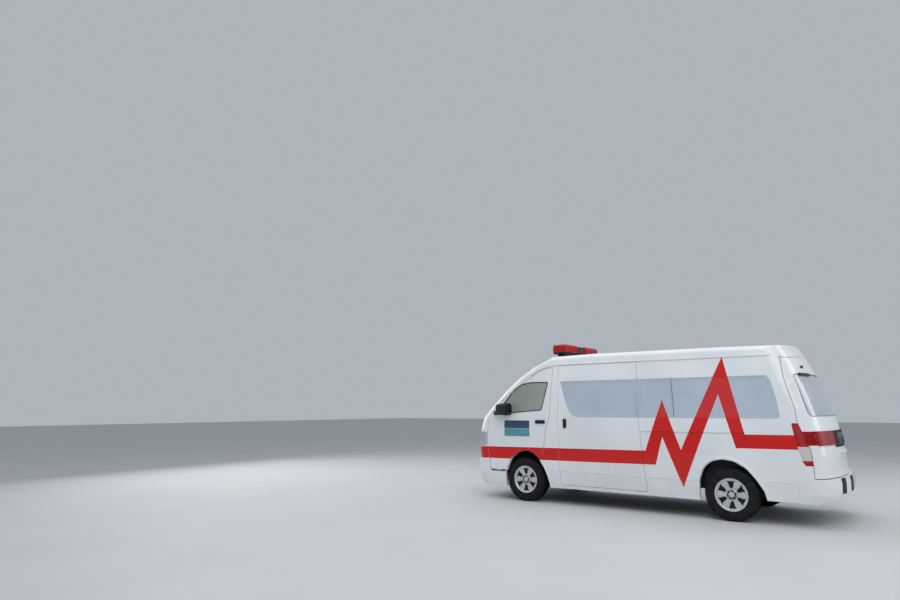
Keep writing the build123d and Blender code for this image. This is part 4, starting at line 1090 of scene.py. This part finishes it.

# Wheel covers over the CAD wheel: ridges on rim and spokes, cap, recess, dark patches of painted shade over and
# round the holes, backing, nuts
wheelCover = {
    "spokes": 6,
    "backing": ((0.030, 0.070), (0.032, 0.070), (0.032, 0.190), (0.030, 0.190)),
    "rimRadius": 0.196,
    "rimSteps": 72,
    "ridge": ((0.070, 0.021), (0.186, 0.028)),
    "ridgeSection": ((-0.0045, -0.002), (-0.003, 0.003), (0.003, 0.003), (0.0045, -0.002)),
    "deepest": 0.06,
    "rayFrom": 2,
    "faceAt": (0.03, 0.4),
    "cap": ((-0.004, 0.036), (0.010, 0.036), (0.016, 0.031), (0.019, 0.018), (0.0195, 0.002)),
    "ring": ((0.0, 0.060), (0.0035, 0.059), (0.0035, 0.041), (0.0, 0.040)),
    "paintedShadePatch": ((0.080, 0.014), (0.172, 0.050), 0.012),
    "paintedShadeMost": 0.200,
    "paintedShadeRise": (-0.003, 0.0012),
    "coverSlope": ((0.062, 0.062), (0.150, 0.076), (0.203, 0.078)),
    "nutRadius": 0.052,
    "nut": ((-0.002, 0.0085), (0.010, 0.0085), (0.013, 0.006), (0.0135, 0.001)),
}


def spokeAngles(shift=0.0):
    return [2 * math.pi * (spoke + shift) / wheelCover["spokes"] for spoke in range(wheelCover["spokes"])]


def makeWheelCover(wheel):
    shape = wheelCover
    body = f"wheel_{wheel}"
    low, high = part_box(body)
    middle = (low + high) / 2
    side = 1 if middle.y > 0 else -1
    face = high.y if side > 0 else low.y
    out = Vector((0, side, 0))
    surface = surfaceOf(body)

    def polar(centre, radius, angle, depth):
        return centre + Vector((radius * math.cos(angle), depth, radius * math.sin(angle)))

    def onWheel(radius, angle):
        origin = polar(Vector((middle.x, side * shape["rayFrom"], middle.z)), radius, angle, 0)
        return surface.ray_cast(origin, -out)[0], out

    def turned(profile, centre, sides, looped=False):
        return revolve([(side * depth, radius) for depth, radius in profile], centre, sides, looped=looped)

    lines = []
    for facing in spokeAngles():
        for hand in (-1, 1):
            place = lambda radius, half: onWheel(radius, facing + hand * math.asin(half / radius))
            spots = spotsBetween(place, *shape["ridge"], 7)
            route = [spot for spot in spots if spot[0] is not None and abs(spot[0].y - face) < shape["deepest"]]
            if len(route) > 2:
                lines.append(sweep(route, shape["ridgeSection"]))
    steps = shape["rimSteps"]
    rim = [onWheel(shape["rimRadius"], 2 * math.pi * step / steps) for step in range(steps)]
    lines.append(sweep(rim, shape["ridgeSection"], closed=True))
    base = Vector((middle.x, onWheel(*shape["faceAt"])[0].y, middle.z))
    addPiece(f"wheelCap_{wheel}", [turned(shape["cap"], base, 40)], "silver", body)
    addPiece(f"wheelRecess_{wheel}", [turned(shape["ring"], base, 48, True)], "black", body)
    # Painted shade: dark patches between the spokes, larger than the holes, lying on the cover
    (near, nearHalf), (far, farHalf), corner = shape["paintedShadePatch"]
    outline = roundCorners([(near, -nearHalf), (far, -farHalf), (far, farHalf), (near, nearHalf)], corner, 4)
    count = len(outline)
    paintedShadePatches = []
    for facing in spokeAngles(0.5):
        plate = []
        for rise in shape["paintedShadeRise"]:
            for point in outline:
                radius = min(shape["paintedShadeMost"], point.length)
                depth = side * (valueAt(shape["coverSlope"], radius) + rise)
                plate.append(polar(middle, radius, facing + math.atan2(point[1], point[0]), depth))
        paintedShadePatches.append((plate, ringFaces(2, count) + [list(range(count)), list(range(count, 2 * count))]))
    addPiece(f"wheelPaintedShade_{wheel}", paintedShadePatches, "seal", body, smooth=False)
    addPiece(f"wheelBacking_{wheel}", [turned(shape["backing"], middle, 48, True)], "black", body)
    nuts = [turned(shape["nut"], polar(base, shape["nutRadius"], angle, 0), 6) for angle in spokeAngles(0.25)]
    addPiece(f"wheelNuts_{wheel}", nuts, "chrome", body, smooth=False)
    addPiece(f"wheelRidges_{wheel}", lines, "silver", body)


for wheel in wheelPlaces:
    makeWheelCover(wheel)
print("wheel covers ready")

# Tail: garnish wings out to the lamps, plate recess, pull ledge, look-down mirror, rear eye, dark strips on the
# bumper
tail = {
    # name: heights, least distance from the middle, columns
    "garnish": {"Wing": ((0.988, 1.156), 0.826, 10), "Band": ((0.948, 0.986), 0.0, 24)},
    "wingRows": 6,
    "wingLift": 0.0015,
    "wingThick": 0.0012,
    "wingCentre": (-2.10, 0.60),
    "wingReach": 1.5,
    "wingDegrees": (-60, 120),
    "wingStep": 0.5,
    "wingMiss": 0.004,
    # low corner, high corner, lift, thickness
    "recess": ((-0.300, 0.950), (0.345, 1.156), 0.003, 0.002),
    "ledge": ((-0.245, 0.872), (0.245, 0.904), 0.020, 0.022),
    "pads": ((0.365, 0.515), (-0.085, 0.100), (-0.515, -0.365)),
    "stripHeights": (0.395, 0.584),
    "stripCover": (0.004, 0.004),
    "eyeAt": (0.414, 1.973),
    "eye": ((-0.006, 0.030), (0.014, 0.030), (0.020, 0.024), (0.022, 0.012), (0.0225, 0.002)),
    "eyeStretch": (0.6, 1.4),
    "mirrorBar": ((0.300, 1.868), (0.640, 1.868)),
    "mirrorSection": ((-0.018, 0.004), (-0.014, 0.026), (0.014, 0.026), (0.018, 0.004)),
}
tailgateSurface = surfaceOf("tailgate")


def wingRows(side, heights, least, columns):
    cx, cy = tail["wingCentre"]
    low, high = heights

    def reach(angle, z):
        out = Vector((-math.cos(angle), side * math.sin(angle), 0))
        centre = Vector((cx, side * cy, z))
        start = centre + out * tail["wingReach"]
        hit = tailgateSurface.ray_cast(start, -out)[0]
        if hit is None:
            return None
        outermost = onSurface(start, -out)[0]
        if abs((hit - centre).length - (outermost - centre).length) > tail["wingMiss"]:
            return None
        return hit + out * tail["wingLift"]

    start, end = (round(degrees / tail["wingStep"]) for degrees in tail["wingDegrees"])
    angles = [math.radians(step) * tail["wingStep"] for step in range(start, end)]
    rows = []
    for row in range(tail["wingRows"]):
        z = low + (high - low) * row / (tail["wingRows"] - 1)
        spots = [(angle, reach(angle, z)) for angle in angles]
        inside = [angle for angle, spot in spots if spot is not None and abs(spot.y) > least]
        first, last = inside[0], inside[-1]
        rows.append([reach(first + (last - first) * k / (columns - 1), z) for k in range(columns)])
    return rows


def tailSheet(low, high, lift, thick, columns=16, rows=5):
    grid = []
    for row in range(rows):
        z = low[1] + (high[1] - low[1]) * row / (rows - 1)
        spots = spotsBetween(onTail, (low[0], z), (high[0], z), columns - 1)
        grid.append([hit - Vector((lift, 0, 0)) for hit, normal in spots])
    return sheetFrom(grid, Vector((thick, 0, 0)))


def makeTail():
    for side, body, label in doorSides:
        for name, (heights, least, columns) in tail["garnish"].items():
            rows = wingRows(side, heights, least, columns)
            if any(point is None for row in rows for point in row):
                print("garnish left off", name, label)
                continue
            sheet = sheetFrom(rows, Vector((tail["wingThick"], 0, 0)))
            addPiece(f"garnish{name}{label}", [sheet], "garnish", "tailgate")
    addPiece("plateRecess", [tailSheet(*tail["recess"])], "seal", "tailgate")
    addPiece("pullLedge", [tailSheet(*tail["ledge"], rows=3)], "plain", "tailgate")
    # Three dark strips on the rear face of the bumper
    low, high = tail["stripHeights"]
    pads = [tailSheet((y0, low), (y1, high), *tail["stripCover"], 6, 14) for y0, y1 in tail["pads"]]
    addPiece("darkBumperStrips", pads, "darkStrip", "shell")
    eye = standOn(onTail(*tail["eyeAt"]), tail["eye"], 28, stretch=tail["eyeStretch"])
    addPiece("rearEye", [eye], "black", "tailgate")
    bar = sweep(spotsBetween(onTail, *tail["mirrorBar"], 12), tail["mirrorSection"])
    addPiece("lookDownMirror", [bar], "black", "tailgate")


makeTail()
print("tail ready")

# Nose: wrap-round lamp ends, the slit in the bumper side, lamp bowls, bars
nose = {
    "lampEnd": ((2.396, 0.845), (2.440, 1.052), 0.0006, 0.0012),
    "lampEndCorner": 0.008,
    "bowls": ((0.800, 0.985, 0.058), (0.670, 0.972, 0.048)),
    "bowlEdge": ((-0.002, 0.0), (0.004, 0.0), (0.005, -0.005), (0.002, -0.010), (-0.002, -0.010)),
    "bars": (0.826, 0.852, 0.878, 0.904, 0.930),
    "barHalf": 0.535,
    "barSection": ((-0.006, -0.004), (-0.004, 0.010), (0.004, 0.010), (0.006, -0.004)),
    "slit": ((2.318, 0.446), (2.050, 0.446)),
    "slitSection": ((-0.006, -0.001), (-0.005, 0.0025), (0.005, 0.0025), (0.006, -0.001)),
}


def makeNose():
    for side, body, label in doorSides:
        end = sidePatch(*nose["lampEnd"], side, nose["lampEndCorner"], 6)
        addPiece(f"lampEnd{label}", [end], "lampSide", "shell")
        route = spotsBetween(lambda x, z: onSide(x, z, side), *nose["slit"], 7)
        addPiece(f"bumperSlit{label}", [sweep(route, nose["slitSection"])], "seal", "shell")
    rings = []
    for y, z, radius in nose["bowls"]:
        profile = [(depth, radius + grow) for depth, grow in nose["bowlEdge"]]
        rings += [standOn(onNose(side * y, z), profile, 40, True) for side in (1, -1)]
    addPiece("lampBowls", rings, "chrome", "shell")
    # These rays pass the open grille, so the bars stand inside the tail
    half = nose["barHalf"]
    bars = [sweep(spotsBetween(onNose, (-half, z), (half, z), 24), nose["barSection"]) for z in nose["bars"]]
    addPiece("grilleBars", bars, "chrome", "shell")


makeNose()
print("nose ready")

# Front seats: swollen cushions and backs with piped seams, head rests on two stems
seats = {
    "places": ((0.430, 0.232), (0.0, 0.160), (-0.430, 0.232)),
    "voxel": 0.010,
    "frames": 14,
    "pressure": 3.0,
    "swell": 0.014,
    "pads": {
        # low and high corner as x, share of the half width and z, then the corner radius
        "cushion": ((1.420, -1.0, 0.894), (1.905, 1.0, 0.990), 0.030),
        "back": ((1.330, -1.0, 0.985), (1.425, 1.0, 1.470), 0.030),
        "head": ((1.312, -0.52, 1.512), (1.374, 0.52, 1.648), 0.024),
    },
    "lean": 0.150,
    "leanFrom": 0.900,
    "piping": ((-0.003, -0.002), (-0.003, 0.003), (0.003, 0.003), (0.003, -0.002)),
    "base": ((1.452, -0.80, 0.8085), (1.858, 0.80, 0.900)),
    "baseCorner": 0.014,
    "inset": 0.008,
    "rayFrom": 0.2,
    "pipingInset": 0.030,
    "pipingLift": 0.001,
    "pipingCorner": 0.05,
    "pipingSpacing": 0.03,
    "stemHalf": 0.038,
    "stemX": 1.380,
    "stem": ((1.452, 0.005), (1.530, 0.005)),
}


def swell(piece):
    remesh = piece.modifiers.new("even", "REMESH")
    remesh.mode = "VOXEL"
    remesh.voxel_size = seats["voxel"]
    remesh.use_smooth_shade = True
    view = bpy.context.evaluated_depsgraph_get
    piece.data = bpy.data.meshes.new_from_object(piece.evaluated_get(view()))
    piece.modifiers.clear()
    start = [vertex.co.copy() for vertex in piece.data.vertices]
    cloth = piece.modifiers.new("swell", "CLOTH")
    cloth.settings.use_pressure = True
    cloth.settings.uniform_pressure_force = seats["pressure"]
    cloth.settings.effector_weights.gravity = 0.0
    cloth.point_cache.frame_start, cloth.point_cache.frame_end = 1, seats["frames"]
    for frameNumber in range(1, seats["frames"] + 1):
        bpy.context.scene.frame_set(frameNumber)
    moved = bpy.data.meshes.new_from_object(piece.evaluated_get(view()))
    piece.modifiers.clear()
    for vertex, before in zip(moved.vertices, start):
        shift = vertex.co - before
        if shift.length > seats["swell"]:
            vertex.co = before + shift.normalized() * seats["swell"]
    piece.data = moved
    bpy.context.scene.frame_set(1)


def seatLean(point):
    return point - Vector((max(0.0, point.z - seats["leanFrom"]) * seats["lean"], 0, 0))


def atSeat(point, y, half):
    return Vector((point[0], y + point[1] * half, point[2]))


def padShape(kind, y, half):
    low, high, radius = seats["pads"][kind]
    inset = Vector((seats["inset"],) * 3)
    vertices, faces = roundedBlock(atSeat(low, y, half) + inset, atSeat(high, y, half) - inset, radius, 4)
    return [seatLean(v) if kind != "cushion" else v for v in vertices], faces


def pipingRoute(kind, y, half):
    low, high, radius = seats["pads"][kind]
    inset, lift = seats["pipingInset"], seats["pipingLift"]
    flat = kind == "cushion"
    side = half - inset
    if flat:
        corners = rectangle((low[0] + inset, -side), (high[0] - inset, side))
    else:
        corners = rectangle((-side, low[2] + inset), (side, high[2] - inset))
    loop = evenly(roundCorners(corners, seats["pipingCorner"]), seats["pipingSpacing"])
    if flat:
        return [Vector((p[0], y + p[1], high[2] + lift)) for p in loop], zAxis
    return [seatLean(Vector((high[0] + lift, y + p[0], p[1]))) for p in loop], Vector((1, 0, 0))


def makePad(kind, number, y, half):
    piece = addPiece(f"{kind}Pad{number}", [padShape(kind, y, half)], "seat", "shell")
    piece.modifiers.clear()
    swell(piece)
    piece.data.materials.clear()
    piece.data.materials.append(finish["seat"])
    for polygon in piece.data.polygons:
        polygon.use_smooth = True
    surface = BVHTree.FromPolygons(*partOf(piece.data))
    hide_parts("front_seats")
    return surface


def makeSeats():
    piping, stems, bases = [], [], []
    for number, (y, half) in enumerate(seats["places"], 1):
        for kind in seats["pads"]:
            surface = makePad(kind, number, y, half)
            if kind != "head":
                points, up = pipingRoute(kind, y, half)
                spots = [surface.ray_cast(point + up * seats["rayFrom"], -up)[:2] for point in points]
                route = [spot for spot in spots if spot[0] is not None]
                piping.append(sweep(route, seats["piping"], closed=True))
        for offset in (-seats["stemHalf"], seats["stemHalf"]):
            vertices, faces = revolve(seats["stem"], (0, 0, 0), 16, "Z")
            stems.append(([seatLean(v + Vector((seats["stemX"], y + offset, 0))) for v in vertices], faces))
        bases.append(roundedBlock(*(atSeat(point, y, half) for point in seats["base"]), seats["baseCorner"]))
    addPiece("seatPiping", piping, "trim", "shell")
    addPiece("headRestStems", stems, "chrome", "shell")
    addPiece("seatBases", bases, "black", "shell")


makeSeats()
print("seats ready")

# Handles: a dished plate over the grip of each front door and of the sliding door
handles = {
    "door": ((1.290, 1.207), (1.466, 1.262)),
    "doorCorner": 0.020,
    "slide": ((0.914, 1.150), (0.966, 1.284)),
    "slideCorner": 0.018,
    "cover": (0.002, 0.003),
}
for side, body, label in doorSides:
    plate = sidePatch(*handles["door"], *handles["cover"], side, handles["doorCorner"], 10)
    addPiece(f"handlePlate{label}", [plate], "black", body)
plate = sidePatch(*handles["slide"], *handles["cover"], 1, handles["slideCorner"], 6)
addPiece("slideHandlePlate", [plate], "black", "shell")

# Light bar: speaker slats, ribs on the domes and the pale ball on top
lightBar = {
    "middle": 1.19,
    "rayFrom": 0.5,
    "above": 3,
    "slats": (2.372, 2.388, 2.404, 2.420, 2.436),
    "slatHalf": 0.058,
    "slatSection": ((-0.003, -0.001), (-0.002, 0.006), (0.002, 0.006), (0.003, -0.001)),
    "ribs": (0.20, 0.26, 0.32, 0.38, 0.44, 0.50),
    "ribHeights": (2.362, 2.415),
    "ribSection": ((-0.003, -0.001), (-0.0015, 0.0018), (0.0015, 0.0018), (0.003, -0.001)),
    "ball": ((-0.006, 0.034), (0.004, 0.033), (0.010, 0.028), (0.0145, 0.019), (0.0168, 0.008), (0.017, 0.001)),
}
barSurface = surfaceOf("light_bar", "beacon_domes")


def barLine(facing, start, end, steps, section):
    out = Vector((facing, 0, 0))
    x = lightBar["middle"] + facing * lightBar["rayFrom"]
    spots = spotsBetween(lambda y, z: (barSurface.ray_cast(Vector((x, y, z)), -out)[0], out), start, end, steps)
    return sweep([spot for spot in spots if spot[0] is not None], section)


def makeLightBar():
    half, (low, high) = lightBar["slatHalf"], lightBar["ribHeights"]
    slats, ribs = [], []
    for facing in (1, -1):
        slats += [barLine(facing, (-half, z), (half, z), 8, lightBar["slatSection"]) for z in lightBar["slats"]]
        for y in lightBar["ribs"]:
            for place in (y, -y):
                ribs.append(barLine(facing, (place, low), (place, high), 4, lightBar["ribSection"]))
    addPiece("speakerSlats", slats, "grey", "shell")
    addPiece("domeRibs", ribs, "redDome", "shell")
    top = barSurface.ray_cast(Vector((lightBar["middle"], 0, lightBar["above"])), -zAxis)[0]
    addPiece("barLamp", [revolve(lightBar["ball"], top, 32, "Z")], "signWhite", "shell")


makeLightBar()
print("light bar ready")


# Floor and light
studio = {
    "floorHalf": 60.0,
    "floorColour": (0.52, 0.53, 0.54),
    "sky": (0.80, 0.87, 0.96),
    "skyStrength": 0.52,
    "lamps": (
        ("keyLight", (-6.0, 9.0, 9.0), (0.0, 0.0, 1.2), 9.0, 620.0),
        ("topLight", (1.0, 0.0, 9.5), (0.0, 0.0, 1.0), 10.0, 330.0),
        ("rearFill", (-10.0, -5.0, 5.0), (-1.0, 0.0, 1.2), 7.0, 300.0),
        ("frontFill", (10.0, 1.0, 5.0), (1.5, 0.0, 1.2), 7.0, 300.0),
    ),
}


def makeStudio():
    half, colour = studio["floorHalf"], studio["floorColour"]
    mesh = bpy.data.meshes.new("studioFloor")
    mesh.from_pydata([(*corner, 0) for corner in rectangle((-half, -half), (half, half))], [], [(0, 1, 2, 3)])
    floor = addObject("studioFloor", mesh)
    material, tree, shader = newMaterial("studioFloor", colour, 0.75)
    tint(tree, shader, patches(tree, 0.8, 6.0), colour, scaled(colour, 1.06))
    mesh.materials.append(material)
    world = bpy.data.worlds.new("studioSky")
    bpy.context.scene.world = world
    world.use_nodes = True
    backdrop = world.node_tree.nodes["Background"]
    backdrop.inputs[0].default_value = (*studio["sky"], 1)
    backdrop.inputs[1].default_value = studio["skyStrength"]
    for name, place, aim, size, power in studio["lamps"]:
        data = bpy.data.lights.new(name, "AREA")
        data.size = size
        data.energy = power
        lamp = addObject(name, data)
        lamp.location = place
        lamp.rotation_euler = (Vector(aim) - Vector(place)).to_track_quat("-Z", "Y").to_euler()


makeStudio()
bpy.context.scene.view_settings.view_transform = "Standard"
print("studio ready")
